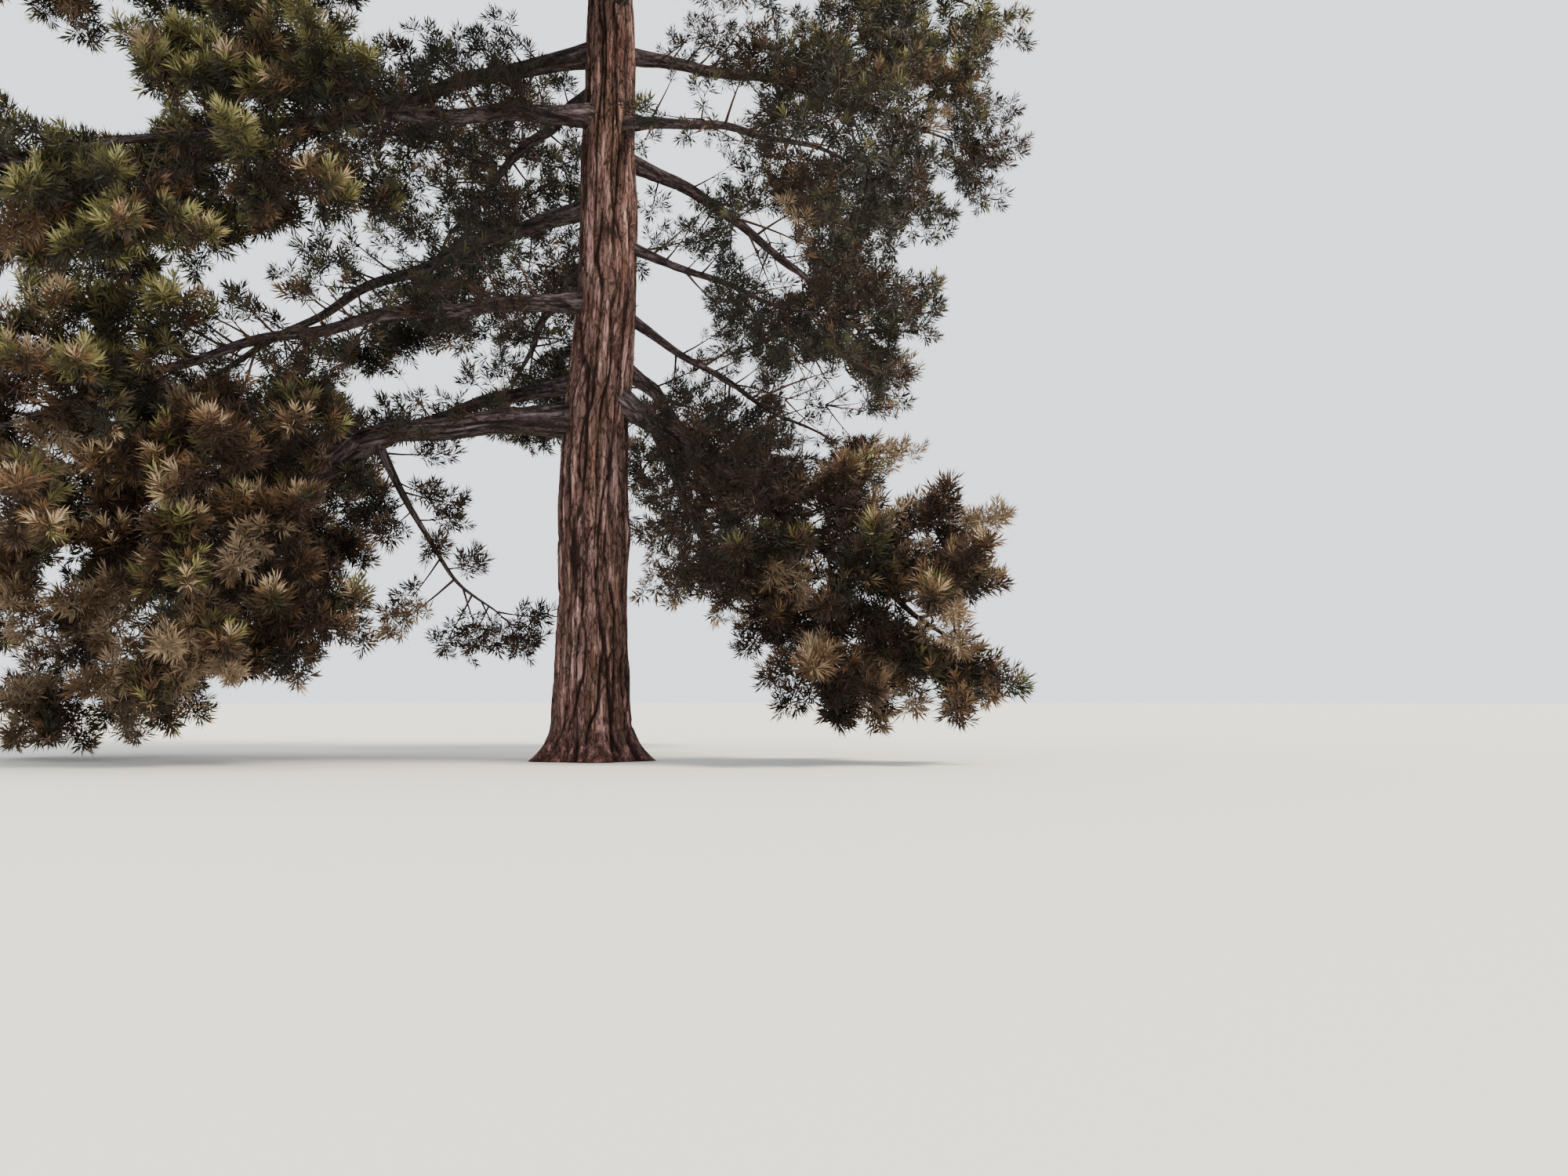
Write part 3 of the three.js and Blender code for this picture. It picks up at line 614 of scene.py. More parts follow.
def grow_sprays(limb, index, masses, bark_beads):
    """The sprays of one mass: those of its tries, with those of their arms, that are above the
    ground, nearer to their own stem than to any other, off the limbs and not where sky shows."""
    plans = spray_plans(limb, index)
    others = np.concatenate([points for i, (points, _) in enumerate(masses) if i != index])
    bark_points, bark_radii = bark_beads

    def fits(points, thickness):
        """Whether each point, with this thickness round it, keeps to all of that."""
        room = distances(points, masses[index][0]).min(-1) + 2 * (SPACE_MARGIN + thickness)
        apart = distances(points, others).min(-1) >= room
        bare = (distances(points, bark_points) - bark_radii).min(-1) > LIMB_CLEARANCE + thickness
        return apart & bare & (points[..., 2] >= GROUND_CLEARANCE) & ~in_sky_gap(points)

    root, middle, reach = plans["root"], plans["middle"], plans["reach"]
    on_twig = root[:, None] + (middle - root)[:, None] * PROBES[:, None]
    twig_fits = fits(on_twig, CORE_RADIUS * PROBES).all(-1)
    steps = (ARM_CUTS[:, None] * PROBES)[..., None]
    on_arm = middle[:, None, None, None] + reach[:, :, None, None] * steps
    arm_fits = fits(on_arm, CORE_RADIUS * (1 - PROBES)).all(-1)
    spikes = Spikes()
    grown = []
    for k in range(TRIES_PER_MASS):
        if len(grown) == SPRAYS_PER_MASS:
            break
        near = [g for g in grown if np.linalg.norm(middle[g["k"]] - middle[k]) < SPRAY_SPACING]
        if near or not twig_fits[k] or spikes.meet(root[k], middle[k], 0, CORE_RADIUS):
            continue
        cuts = np.zeros(ARMS)
        for i in range(ARMS):
            for j, cut in enumerate(ARM_CUTS):
                tip = middle[k] + reach[k, i] * cut
                shoulder = CORE_RADIUS * ARM_SHOULDER
                if arm_fits[k, i, j] and not spikes.meet(middle[k], tip, shoulder, 0):
                    cuts[i] = cut
                    break
        if (cuts > 0).sum() < FEWEST_ARMS:
            continue
        spikes.lines.append((root[k], middle[k], (0, CORE_RADIUS)))
        for i in np.flatnonzero(cuts):
            tip = middle[k] + reach[k, i] * cuts[i]
            spikes.lines.append((middle[k], tip, (CORE_RADIUS * ARM_SHOULDER, 0)))
        grown.append({"k": k, "seed": index * SEED_STEP + k, "cuts": cuts})
    chosen = [g["k"] for g in grown]
    sprays = {name: values[chosen] for name, values in plans.items()}
    sprays["cuts"] = np.array([g["cuts"] for g in grown])
    sprays["seed"] = np.array([g["seed"] for g in grown])
    return sprays


limbs = grow_limbs()
drooping = {}
for host in limbs:
    if host.name in DROOPING_BRANCHES:
        plan = DROOPING_BRANCHES[host.name]
        drooping[host.name] = Limb(plan, host.grown_point(plan[1]), host.thickness(plan[1]))
masses = [limb.beads(limb.bare, 1) for limb in limbs]
bark_sets = [trunk_beads()] + [limb.beads(0, limb.bare) for limb in limbs[:-1]]
bark_beads = tuple(np.concatenate(column) for column in zip(*bark_sets))
sprays_of = {limb.name: grow_sprays(limb, i, masses, bark_beads) for i, limb in enumerate(limbs)}


def parabola(root, knee, tip, share):
    """Points at shares of several parabolas: (1 - t)^2 root, 2t(1 - t) knee and t^2 tip."""
    t = share[..., None]
    return (1 - t) ** 2 * root[:, None] + 2 * (1 - t) * t * knee[:, None] + t * t * tip[:, None]


def parabola_way(root, knee, tip, share):
    """The direction there: the way from root to knee turning evenly into that from knee to tip."""
    t = share[..., None]
    return unit((1 - t) * (knee - root)[:, None] + t * (tip - knee)[:, None])


def twig_radius(kind, length):
    """The radius of a kind of twig at its foot: its least, and so much more for each metre."""
    least, per_metre = TWIG_RADII[kind]
    return least + per_metre * length


def spindles(root, knee, tip, radius, rings):
    """Closed three-sided twigs, all at once: rings round each parabola, whose radius falls evenly
    from its root to nothing at its tip, one triangle over the root and three that meet at the tip."""
    count = len(root)
    share = np.broadcast_to(np.arange(rings) / rings, (count, rings))
    middle = parabola(root, knee, tip, share)
    angle = 2 * math.pi * np.arange(3) / 3
    corner = square_way(unit(tip - root)[:, None], angle[:, None])
    size = (radius[:, None] * (1 - share))[..., None, None]
    corners = (middle[:, :, None] + corner[:, None] * size).reshape(count, 3 * rings, 3)
    points = np.concatenate([corners, tip[:, None]], axis=1)
    low = 3 * np.arange(rings - 1)[:, None] + np.arange(3)
    side = low - np.arange(3) + (np.arange(3) + 1) % 3
    walls = np.stack([low, side, side + 3, low, side + 3, low + 3], axis=-1).reshape(-1, 3)
    last = 3 * (rings - 1)
    point = 3 * rings
    ends = [[0, 2, 1]] + [[last + i, last + (i + 1) % 3, point] for i in range(3)]
    faces = np.concatenate([walls, ends])
    each = np.arange(count)[:, None, None] * (point + 1)
    return points.reshape(-1, 3), (faces + each).reshape(-1, 3)


def needle_tufts(tips, ways, size, seed):
    """Tufts of needles. Down the last of the shoot each needle turns on by the golden angle and
    leans out further. It is one slim triangle: its sheath, its tip, and its widest place halfway,
    which stands off to a side by chance."""
    needle = np.arange(NEEDLES)
    back = (needle + 0.5) / NEEDLES
    turn = np.radians(GOLDEN_ANGLE) * needle + 2 * math.pi * chance(seed)[:, None]
    turn = turn + TURN_SCATTER * (chance(seed[:, None] * 1.7 + needle * 3.1) - 0.5)
    side = square_way(ways[:, None], turn[..., None])
    scatter = NEEDLE_SCATTER * (chance(seed[:, None] + needle * 5.3) - 0.5)
    lean = (np.radians(NEEDLE_LEANS[0] + NEEDLE_LEANS[1] * back**0.8) + scatter)[..., None]
    way = ways[:, None] * np.cos(lean) + side * np.sin(lean)
    girdle = np.cross(ways[:, None], side)
    tilt = 2 * math.pi * chance(seed[:, None] * 3.7 + needle * 1.9)[..., None]
    off = girdle * np.cos(tilt) + np.cross(way, girdle) * np.sin(tilt)
    sheath = tips[:, None] - ways[:, None] * (TUFT_LENGTH * size[:, None] * back)[..., None]
    least, more = NEEDLE_SIZES
    grown = NEEDLE_LENGTH * size[:, None] * (least + more * chance(seed[:, None] * 2.3 + needle))
    grown = grown[..., None]
    widest = sheath + grown * (0.5 * way + NEEDLE_BREADTH * off)
    points = np.stack([sheath, widest, sheath + grown * way], axis=2).reshape(-1, 3)
    return points, np.arange(len(points)).reshape(-1, 3)


def shoots_on(root, knee, tip, share, reach, lean, lift, seed):
    """Side shoots at shares of several parabolas: each turns on by the golden angle, leans out from
    the twig by the same angle and is lifted towards the light. Arrays of roots, ways and lengths."""
    at = parabola(root, knee, tip, share)
    along = parabola_way(root, knee, tip, share)
    step = np.arange(share.shape[1])
    turn = np.radians(GOLDEN_ANGLE) * step + 2 * math.pi * chance(seed)[:, None]
    side = square_way(along, turn[..., None])
    lean = lean + LEAN_CHANCE * (chance(seed[:, None] + step * 0.37) - 0.5)
    lean = np.radians(lean)[..., None]
    way = unit(along * np.cos(lean) + side * np.sin(lean) + UP * lift)
    least, more = SHOOT_SIZES
    grown = reach * (least + more * chance(seed[:, None] + step * 0.61))
    return at, way, grown


def light_on(tips, seed):
    """How much painted light the tufts of one spray get, for the tones of their needles: more out at
    the crown's edge than in its painted shade near the trunk, less on the right, which is painted as
    shaded, and more or less by chance. It is DRY for a spray whose needles have dried, of which there
    are more low down and none near the trunk."""
    x, z = tips[..., 0], tips[..., 2]
    out = np.hypot(x, tips[..., 1])
    light = OPEN_LIGHT * smooth(*OPEN_FROM, out) - SHADE
    light = light + SPRAY_CHANCE * (chance(seed * 0.83) - 0.5)
    shaded = smooth(*RIGHT_SIDE, x) * smooth(*RIGHT_HEIGHTS, z)
    light = light - (RIGHT_SHADE[0] + RIGHT_SHADE[1] * smooth(*RIGHT_SHADE_HEIGHTS, z)) * shaded
    dried = (DRY_SHARES[0] + DRY_SHARES[1] * smooth(*DRY_HEIGHTS, z)) * smooth(*DRY_FROM, out)
    return np.where(chance(seed * 1.9 + 0.4) < dried, DRY, light)


class Foliage:
    """The twigs and tufts of one part of the crown, gathered as arrays until they are joined. It
    knows how many shoots an arm carries there, how many branchlets a metre of limb, and whether it
    keeps out of the gaps that sky shows through."""

    def __init__(self, shoots_per_arm=0, twigs_per_metre=0, keeps_gaps=True):
        """Bare at first."""
        self.shoots_per_arm = shoots_per_arm
        self.twigs_per_metre = twigs_per_metre
        self.keeps_gaps = keeps_gaps
        self.twigs = []
        self.tufts = []

    def free(self, tips, seed):
        """Whether there is room for a tuft at each tip: off the ground, and not where sky shows,
        but for a few by their seed in the gaps that have single tufts."""
        dealt = chance(seed * 0.57)
        inside = sky_gaps_at(tips)
        inside[:, TUFTED_GAPS] &= dealt[:, None] > TUFTED_SHARE
        small = gaps_at(tips, SMALL_GAPS).any(-1) & (dealt > SMALL_GAP_SHARE)
        open_sky = (inside.any(-1) | small) & self.keeps_gaps
        return (tips[:, 2] > GROUND_CLEARANCE) & ~open_sky

    def add_twigs(self, root, knee, tip, radius, rings):
        """Twigs that run from their roots to their tips, steered by their knees."""
        self.twigs.append(spindles(root, knee, tip, radius, rings))

    def add_tufts(self, tips, ways, seed, glow):
        """Tufts at shoots' tips, where there is room. glow is how much light each gets, from 0 to
        1, and chooses its tone with the seed."""
        held = self.free(tips, seed)
        self.tufts.append((tips[held], ways[held], seed[held], glow[held]))

    def add_shoots(self, root, way, grown, seed, glow):
        """Straight shoots with a tuft at each tip, and on the long ones one more from the side."""
        root, way, grown = root.reshape(-1, 3), way.reshape(-1, 3), grown.reshape(-1)
        seed, glow = seed.reshape(-1), glow.reshape(-1)
        tip = root + way * grown[:, None]
        held = self.free(tip, seed)
        root, way, grown, tip, seed, glow = (a[held] for a in (root, way, grown, tip, seed, glow))
        self.add_twigs(root, (root + tip) / 2, tip, twig_radius("shoot", grown), SHOOT_RINGS)
        self.add_tufts(tip, unit(way + UP * SHOOT_TUFT_LIFT), seed, glow)
        twin = grown > TWIN_FROM
        turn = 2 * math.pi * chance(seed[twin] + 0.11)[:, None]
        side = unit(way[twin] * 0.5 + square_way(way[twin], turn) + UP * SHOOT_LIFT)
        start = root[twin] + way[twin] * (0.5 * grown[twin])[:, None]
        end = start + side * TWIN_LENGTH
        radius = np.full(len(start), TWIN_RADIUS)
        self.add_twigs(start, (start + end) / 2, end, radius, SHOOT_RINGS)
        self.add_tufts(end, side, seed[twin] + 0.5, glow[twin])


def dress_twigs(foliage, limb, sprays, seed):
    """The twigs of one mass: each arches from its limb to its spray's middle and carries shoots
    along its outer half, more of them the longer it is."""
    middle = sprays["middle"]
    foot = limb.grown_point(sprays["at"])
    size = length_of(middle - foot)
    knee = (foot + middle) / 2 + UP * TWIG_ARCH * size
    end = middle + sprays["way"] * TWIG_PAST
    foliage.add_twigs(foot, knee, end, twig_radius("twig", size[:, 0]), TWIG_RINGS)
    each = np.arange(TWIG_SHOOTS)
    first, span = TWIG_SHOOTS_ALONG
    share = first + span * (each + chance(seed)[:, None]) / TWIG_SHOOTS
    growth = (TWIG_SHOOT, SHOOT_LEAN, SHOOT_LIFT, seed)
    at, way, grown = shoots_on(foot, knee, middle, share, *growth)
    glow = TWIG_LIGHT + LIGHT_FROM_ABOVE * way[..., 2] + light_on(middle, seed)[:, None]
    used = each < TWIG_SHOOTS_LEAST + TWIG_SHOOTS_MORE * np.clip(size / TWIG_LONGEST, 0, 1)
    ids = seed[:, None] * 31 + each
    foliage.add_shoots(at[used], way[used], grown[used], ids[used], glow[used])


def dress_arms(foliage, sprays, seed):
    """The arms of one mass's sprays: they sag, so that their ends turn up, and carry a tuft there
    and shoots that get shorter towards it."""
    cuts = sprays["cuts"]
    kept = cuts > 0
    start = np.broadcast_to(sprays["middle"][:, None], sprays["reach"].shape)[kept]
    reach = (sprays["reach"] * cuts[..., None])[kept]
    arm_seed = (seed[:, None] * 7 + np.arange(ARMS) * 1.3)[kept]
    size = length_of(reach)
    knee = start + reach * 0.5 - UP * ARM_SAG * size
    tip = start + reach * ARM_END
    foliage.add_twigs(start, knee, tip, twig_radius("arm", size[:, 0]), ARM_RINGS)
    light = light_on(tip, arm_seed)
    end_way = unit(unit(tip - knee) + UP * TUFT_LIFT)
    foliage.add_tufts(tip, end_way, arm_seed, ARM_END_LIGHT + light)
    each = np.arange(foliage.shoots_per_arm)
    first, span = ARM_SHOOTS_ALONG
    share = first + span * (each + chance(arm_seed)[:, None]) / foliage.shoots_per_arm
    length = ARM_SHOOT[0] - ARM_SHOOT[1] * share
    growth = (length, ARM_SHOOT_LEAN, ARM_SHOOT_LIFT, arm_seed)
    at, way, grown = shoots_on(start, knee, tip, share, *growth)
    glow = ARM_LIGHT + LIGHT_FROM_ABOVE * way[..., 2] + LIGHT_ALONG_ARM * (share - 0.5)
    glow = glow + light[:, None]
    used = each < np.ceil(foliage.shoots_per_arm * cuts[kept])[:, None]
    ids = arm_seed[:, None] * 17 + each
    foliage.add_shoots(at[used], way[used], grown[used], ids[used], glow[used])


def add_branchlets(foliage, foot, tip, shoots, seed):
    """Fine sagging twigs with shoots along them, from further out the longer a twig is."""
    size = length_of(tip - foot)
    knee = (foot + tip) / 2 - UP * BRANCHLET_SAG * size
    foliage.add_twigs(foot, knee, tip, twig_radius("branchlet", size[:, 0]), ARM_RINGS)
    light = TWIG_LIGHT + light_on(tip, seed)
    foliage.add_tufts(tip, unit(unit(tip - foot) + UP * TUFT_LIFT), seed, light)
    bare = BRANCHLET_BARE[0] + BRANCHLET_BARE[1] * size
    span = BRANCHLET_SHOOTS_TO - bare
    share = bare + span * (np.arange(shoots) + chance(seed)[:, None]) / shoots
    growth = (BRANCHLET_SHOOT, SHOOT_LEAN, SHOOT_LIFT, seed)
    at, way, grown = shoots_on(foot, knee, tip, share, *growth)
    glow = np.broadcast_to(light[:, None], grown.shape)
    foliage.add_shoots(at, way, grown, seed[:, None] * 13 + np.arange(shoots), glow)


def dress_limb(foliage, limb, index):
    """Branchlets straight from the limb, close where it is bare and sparse on the stem of its mass:
    each turns on by the golden angle, and those that would hang below it are left out."""
    count = int(limb.length * foliage.twigs_per_metre)
    if count < 2:
        return
    k = np.arange(count)
    seed = LIMB_SEED + index * LIMB_SEED_STEP + k
    first, span = LIMB_BRANCHLETS_ALONG
    share = first + span * (k + 0.5 * chance(seed)) / count
    foot = limb.grown_point(share)
    along = limb.direction(share)
    level, rising = square_to(along)
    turn = np.radians(GOLDEN_ANGLE * k + LIMB_BRANCHLET_TURN)[:, None]
    side = level * np.cos(turn) + rising * np.sin(turn) * LIMB_BRANCHLET_FLATNESS
    way = unit(along * LIMB_BRANCHLET_FORWARD + side + UP * LIMB_BRANCHLET_LIFT)
    least, more = LIMB_BRANCHLET
    tip = foot + way * (least + more * chance(seed + 0.3))[:, None]
    held = foliage.free(tip, seed) & foliage.free((foot + tip) / 2, seed)
    held &= (way[:, 2] > LIMB_BRANCHLET_HANG) & (tip[:, 2] > LIMB_BRANCHLET_LOWEST)
    held &= (share < limb.bare + CLOSE_PAST_BARE) | (chance(seed + 0.7) < KEPT_ON_STEM)
    add_branchlets(foliage, foot[held], tip[held], LIMB_BRANCHLET_SHOOTS, seed[held])


def dress_trunk(foliage):
    """Branchlets straight from the trunk high in the crown, by the golden angle as they climb."""
    k = np.arange(TRUNK_TWIGS)
    seed = TRUNK_SEED + k
    climb = (k / TRUNK_TWIGS) ** TRUNK_BRANCHLETS_CLOSE
    foot = trunk_middle(TRUNK_TWIGS_FROM + (TRUNK_TOP - TRUNK_TWIGS_FROM) * climb)
    turn = np.radians(GOLDEN_ANGLE * k)
    least, more = TRUNK_BRANCHLET_RISE
    way = np.stack([np.cos(turn), np.sin(turn), least + more * chance(seed)], axis=-1)
    least, more = TRUNK_BRANCHLET
    tip = foot + unit(way) * (least + more * chance(seed + 0.5))[:, None]
    add_branchlets(foliage, foot, tip, TRUNK_BRANCHLET_SHOOTS, seed)


def dress_leader(foliage, leader):
    """The twig on the trunk's tip that the highest mass grows on."""
    ends = (leader.foot[None], (leader.foot + leader.tip)[None] / 2, leader.tip[None])
    foliage.add_twigs(*ends, np.array([leader.radius]), ARM_RINGS)


def dress_drooping(foliage, branch):
    """The branchlets of the branch that droops into the sky under the lowest bough."""
    share, *way = np.array(DROOPING_BRANCHLETS).T
    start = branch.grown_point(share)
    end = start + np.stack(way, axis=-1)
    before_sky = Foliage(keeps_gaps=False)
    seed = DROOPING_SEED + np.arange(len(start))
    add_branchlets(before_sky, start, end, DROOPING_BRANCHLET_SHOOTS, seed)
    foliage.twigs += before_sky.twigs
    foliage.tufts += before_sky.tufts


def dress_limbs(foliage, members):
    """Everything that grows from these limbs: the sprays of their masses, the branchlets along
    them and along the branches that droop from them, and from the leader those of the trunk."""
    for index, limb in enumerate(limbs):
        if limb.name not in members:
            continue
        sprays = sprays_of[limb.name]
        seed = sprays["seed"].astype(float)
        dress_twigs(foliage, limb, sprays, seed)
        dress_arms(foliage, sprays, seed)
        dress_limb(foliage, limb, index)
        if limb.name == CURTAIN_HOST:
            dress_drooping(foliage, drooping[limb.name])
        elif limb.name in drooping:
            dress_limb(foliage, drooping[limb.name], len(limbs) + index)
        if limb is limbs[-1]:
            dress_trunk(foliage)
            dress_leader(foliage, limb)


def wrapped_noise(u, v, around, seed):
    """Smooth noise from -1 to 1: seeded heights at whole numbers of u and v, joined by S-curves.
    Along u it closes on itself after a whole number of cells."""
    column, row = np.floor(u), np.floor(v)
    across, upward = smooth(0, 1, u - column), smooth(0, 1, v - row)

    def height(c, r):
        """The seeded height at a whole column and row."""
        return 2 * chance(seed + (c % around) * COLUMN_STEP + r * ROW_STEP) - 1

    low = height(column, row) * (1 - across) + height(column + 1, row) * across
    high = height(column, row + 1) * (1 - across) + height(column + 1, row + 1) * across
    return low * (1 - upward) + high * upward


def bark_relief(turn, run, plates, plate_length, seed):
    """How high old bark stands, from 0 in a furrow to 1 on a plate.

    Two families of long furrows sway as they climb, so that they part and meet round long plates:
    each is where a sine wave round the limb crosses zero. Finer waves round it raise ridges, waves
    along it crack the plates across in places, and fine noise makes their faces flake. turn goes
    from 0 to 1 round the limb, and run is how far along it a point is.
    """
    half = max(2, plates // 2)
    reach = run / plate_length

    def noise(around, along, salt, shift=0):
        """Noise with so many cells round the limb and to a plate's length, and a seed of its own."""
        return wrapped_noise(turn * around, reach * along + shift, around, seed + salt)

    height = 1.0
    for family in (0, 1):
        sway = FURROW_SWAY * noise(half, 0.5, 3, 40 * family)
        sway = sway + FURROW_WOBBLE * noise(2 * half, 1.7, 11 * family)
        line = np.abs(np.sin(math.pi * (turn * half + 0.5 * family + sway)))
        filled = FILLED_SHARE * smooth(-0.4, 0.6, noise(half, 0.8, 23 * family + 7))
        height = np.minimum(height, filled + (1 - filled) * smooth(*FURROW_EDGES, line))
    ridges = np.sin(math.pi * (turn * (2 * plates + 1) + 0.7 * noise(plates, 1.3, 31)))
    height = height - RIDGE_HEIGHT * (1 - smooth(0, 0.7, np.abs(ridges)))
    steps = np.sin(math.pi * (reach * 1.4 + 1.5 * noise(plates, 0.7, 41)))
    cracked = (1 - smooth(0, 0.3, np.abs(steps))) * smooth(-0.1, 0.5, noise(plates, 1.1, 77))
    height = height - CRACK_DEPTH * cracked
    return np.clip(height + FLAKE_HEIGHT * noise(4 * plates, 9, 57), 0, 1)


def skin(middle, level, rising, radius):
    """A closed skin round a path: rings of points at a radius from its middles, joined by squares,
    with a fan over either end. Points, squares and the fans' triangles."""
    rows, columns = radius.shape
    angle = 2 * math.pi * np.arange(columns) / columns
    ring = level[:, None] * np.cos(angle)[:, None] + rising[:, None] * np.sin(angle)[:, None]
    points = (middle[:, None] + ring * radius[..., None]).reshape(-1, 3)
    i = np.arange(columns)
    after = (i + 1) % columns
    row = columns * np.arange(rows - 1)[:, None]
    squares = np.stack([row + i, row + after, row + columns + after, row + columns + i], axis=-1)
    first, last = len(points), len(points) + 1
    top = columns * (rows - 1)
    fans = [np.stack([after, i, np.full(columns, first)], axis=-1)]
    fans.append(np.stack([top + i, top + after, np.full(columns, last)], axis=-1))
    points = np.concatenate([points, middle[:1], middle[-1:]])
    return points, squares.reshape(-1, 4), np.concatenate(fans)


def add_mesh(name, points, faces, materials, tones=None, is_smooth=False):
    """A mesh object from arrays of points and of faces, each array of faces with as many corners."""
    mesh = bpy.data.meshes.new(name)
    mesh.vertices.add(len(points))
    mesh.vertices.foreach_set("co", np.asarray(points, np.float32).ravel())
    corners = np.concatenate([array.ravel() for array in faces]).astype(np.int32)
    sizes = np.concatenate([np.full(len(array), array.shape[1]) for array in faces])
    mesh.loops.add(len(corners))
    mesh.loops.foreach_set("vertex_index", corners)
    mesh.polygons.add(len(sizes))
    starts = np.concatenate([[0], np.cumsum(sizes)[:-1]]).astype(np.int32)
    mesh.polygons.foreach_set("loop_start", starts)
    if tones is not None:
        mesh.polygons.foreach_set("material_index", tones.astype(np.int32))
    mesh.polygons.foreach_set("use_smooth", np.full(len(sizes), is_smooth))
    mesh.update(calc_edges=True)
    mesh.validate()
    for material in materials:
        mesh.materials.append(material)
    piece = bpy.data.objects.new(name, mesh)
    bpy.context.scene.collection.objects.link(piece)
    return piece


def store(piece, name, kind, values):
    """Keeps a number or a vector for each point of a piece, for its material to read."""
    attribute = piece.data.attributes.new(name, kind, "POINT")
    field = "vector" if kind == "FLOAT_VECTOR" else "value"
    attribute.data.foreach_set(field, np.asarray(values, np.float32).ravel())


def bark_piece(name, material, path, radius, cork, seed):
    """A skin with the bark's relief: its furrows sink below the radius and its plates stand a
    little over it. path is the limb's middles, its two ways square to them, and how far along it
    they are; cork is the plates round it, the length of one and the furrows' depths. relief is the
    bark's height there, and grain is the point as it would be if the limb were straightened to run
    up, so that a pattern follows the wood."""
    middle, square_ways, run = path
    plates, plate_length, depth = cork
    turn = np.arange(radius.shape[1]) / radius.shape[1]
    relief = bark_relief(turn[None], run[:, None], plates, plate_length, seed)
    surface = radius + (relief - PLATE_LEVEL) * depth[:, None]
    points, squares, fans = skin(middle, *square_ways, surface)
    piece = add_mesh(name, points, [squares, fans], [material], is_smooth=True)
    angle = 2 * math.pi * turn[None]
    upward = np.broadcast_to(run[:, None], surface.shape)
    straight = [surface * np.cos(angle), surface * np.sin(angle), upward]
    grain = np.stack(straight, axis=-1).reshape(-1, 3)
    ends = [[0, 0, run[0]], [0, 0, run[-1]]]
    store(piece, "grain", "FLOAT_VECTOR", np.concatenate([grain, ends]))
    store(piece, "relief", "FLOAT", np.concatenate([relief.ravel(), [0.5, 0.5]]))
    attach(piece, "root")
    return piece


def linear(hex_colour):
    """An sRGB hex colour as linear red, green and blue, with 1 for its alpha."""
    values = np.array([int(hex_colour[i : i + 2], 16) for i in (1, 3, 5)]) / 255
    values = np.where(values <= 0.04045, values / 12.92, ((values + 0.055) / 1.055) ** 2.4)
    return (*values.tolist(), 1.0)


def add_node(material, kind, settings=(), links=()):
    """Adds a shader node. Each setting is a field of the node, or an input by its name or number;
    each link joins an output, or the first output of a node, to an input."""
    node = material.node_tree.nodes.new(f"ShaderNode{kind}")
    for name, value in dict(settings).items():
        if isinstance(name, str) and hasattr(node, name):
            setattr(node, name, value)
        else:
            node.inputs[name].default_value = value
    for name, source in dict(links).items():
        output = source.outputs[0] if isinstance(source, bpy.types.Node) else source
        material.node_tree.links.new(output, node.inputs[name])
    return node


def set_ramp(ramp, stops):
    """Sets a colour ramp's stops from pairs of place and sRGB hex colour."""
    while len(ramp.elements) < len(stops):
        ramp.elements.new(1)
    for element, (place, colour) in zip(ramp.elements, stops):
        element.position = place
        element.color = linear(colour)


def new_material(name):
    """A material with an empty node tree."""
    material = bpy.data.materials.new(name)
    material.use_nodes = True
    material.node_tree.nodes.clear()
    return material


def finish_material(material, shader):
    """Joins a shader to the material's output."""
    add_node(material, "OutputMaterial", links={"Surface": shader})
    return material


def cork_patterns(add, place):
    """The patterns of pine cork, each by its node: its fibres, where a plate is whole between the
    cracks, the tone of each scale, and how high the cork stands, first without fibres and scales
    and then with them."""
    relief = add("Attribute", {"attribute_name": "relief"}).outputs["Fac"]
    # Fibres 12 mm wide, coarser than the real ones so that they show, and ten times as long
    drawn = add("Mapping", {"Scale": (1, 1, 0.1)}, {"Vector": place})
    fibre = add("TexNoise", {"Scale": 85, "Detail": 4, "Roughness": 0.65}, {"Vector": drawn})
    # Cracks between plates about 80 mm wide and six times as long, bent a little by noise
    bend = add("TexNoise", {"Scale": 7, "Detail": 2}, {"Vector": place}).outputs["Color"]
    reach = {"operation": "MULTIPLY_ADD", 1: (0.09, 0.09, 0.3)}
    bent = add("VectorMath", reach, {0: bend, 2: place})
    long = add("Mapping", {"Scale": (1, 1, 0.17)}, {"Vector": bent})
    plates = add("TexVoronoi", {"feature": "DISTANCE_TO_EDGE", "Scale": 13}, {"Vector": long})
    edge = {"interpolation_type": "SMOOTHSTEP", "From Min": 0.0, "From Max": 0.13}
    whole = add("MapRange", edge, {"Value": plates})
    # Scales about 25 mm wide that flake off the plates, each of its own tone
    short = add("Mapping", {"Scale": (1, 1, 0.4)}, {"Vector": bent})
    scales = add("TexVoronoi", {"Scale": 40}, {"Vector": short}).outputs["Color"]
    tone = add("SeparateColor", links={0: scales})
    # How high the cork stands: its relief, less along the cracks, and uneven by fibre and scale
    spread = add("Math", {"operation": "MULTIPLY_ADD", 1: 0.85, 2: -0.58}, {0: fibre})
    patched = add("Math", {"operation": "MULTIPLY_ADD", 1: 0.36}, {0: tone, 2: spread})
    cracked = add("MapRange", {"To Min": 0.5}, {"Value": whole})
    standing = add("Math", {"operation": "MULTIPLY"}, {0: relief, 1: cracked})
    height = add("Math", {"operation": "ADD", "use_clamp": True}, {0: standing, 1: patched})
    return {"fibre": fibre, "whole": whole, "tone": tone, "standing": standing, "height": height}


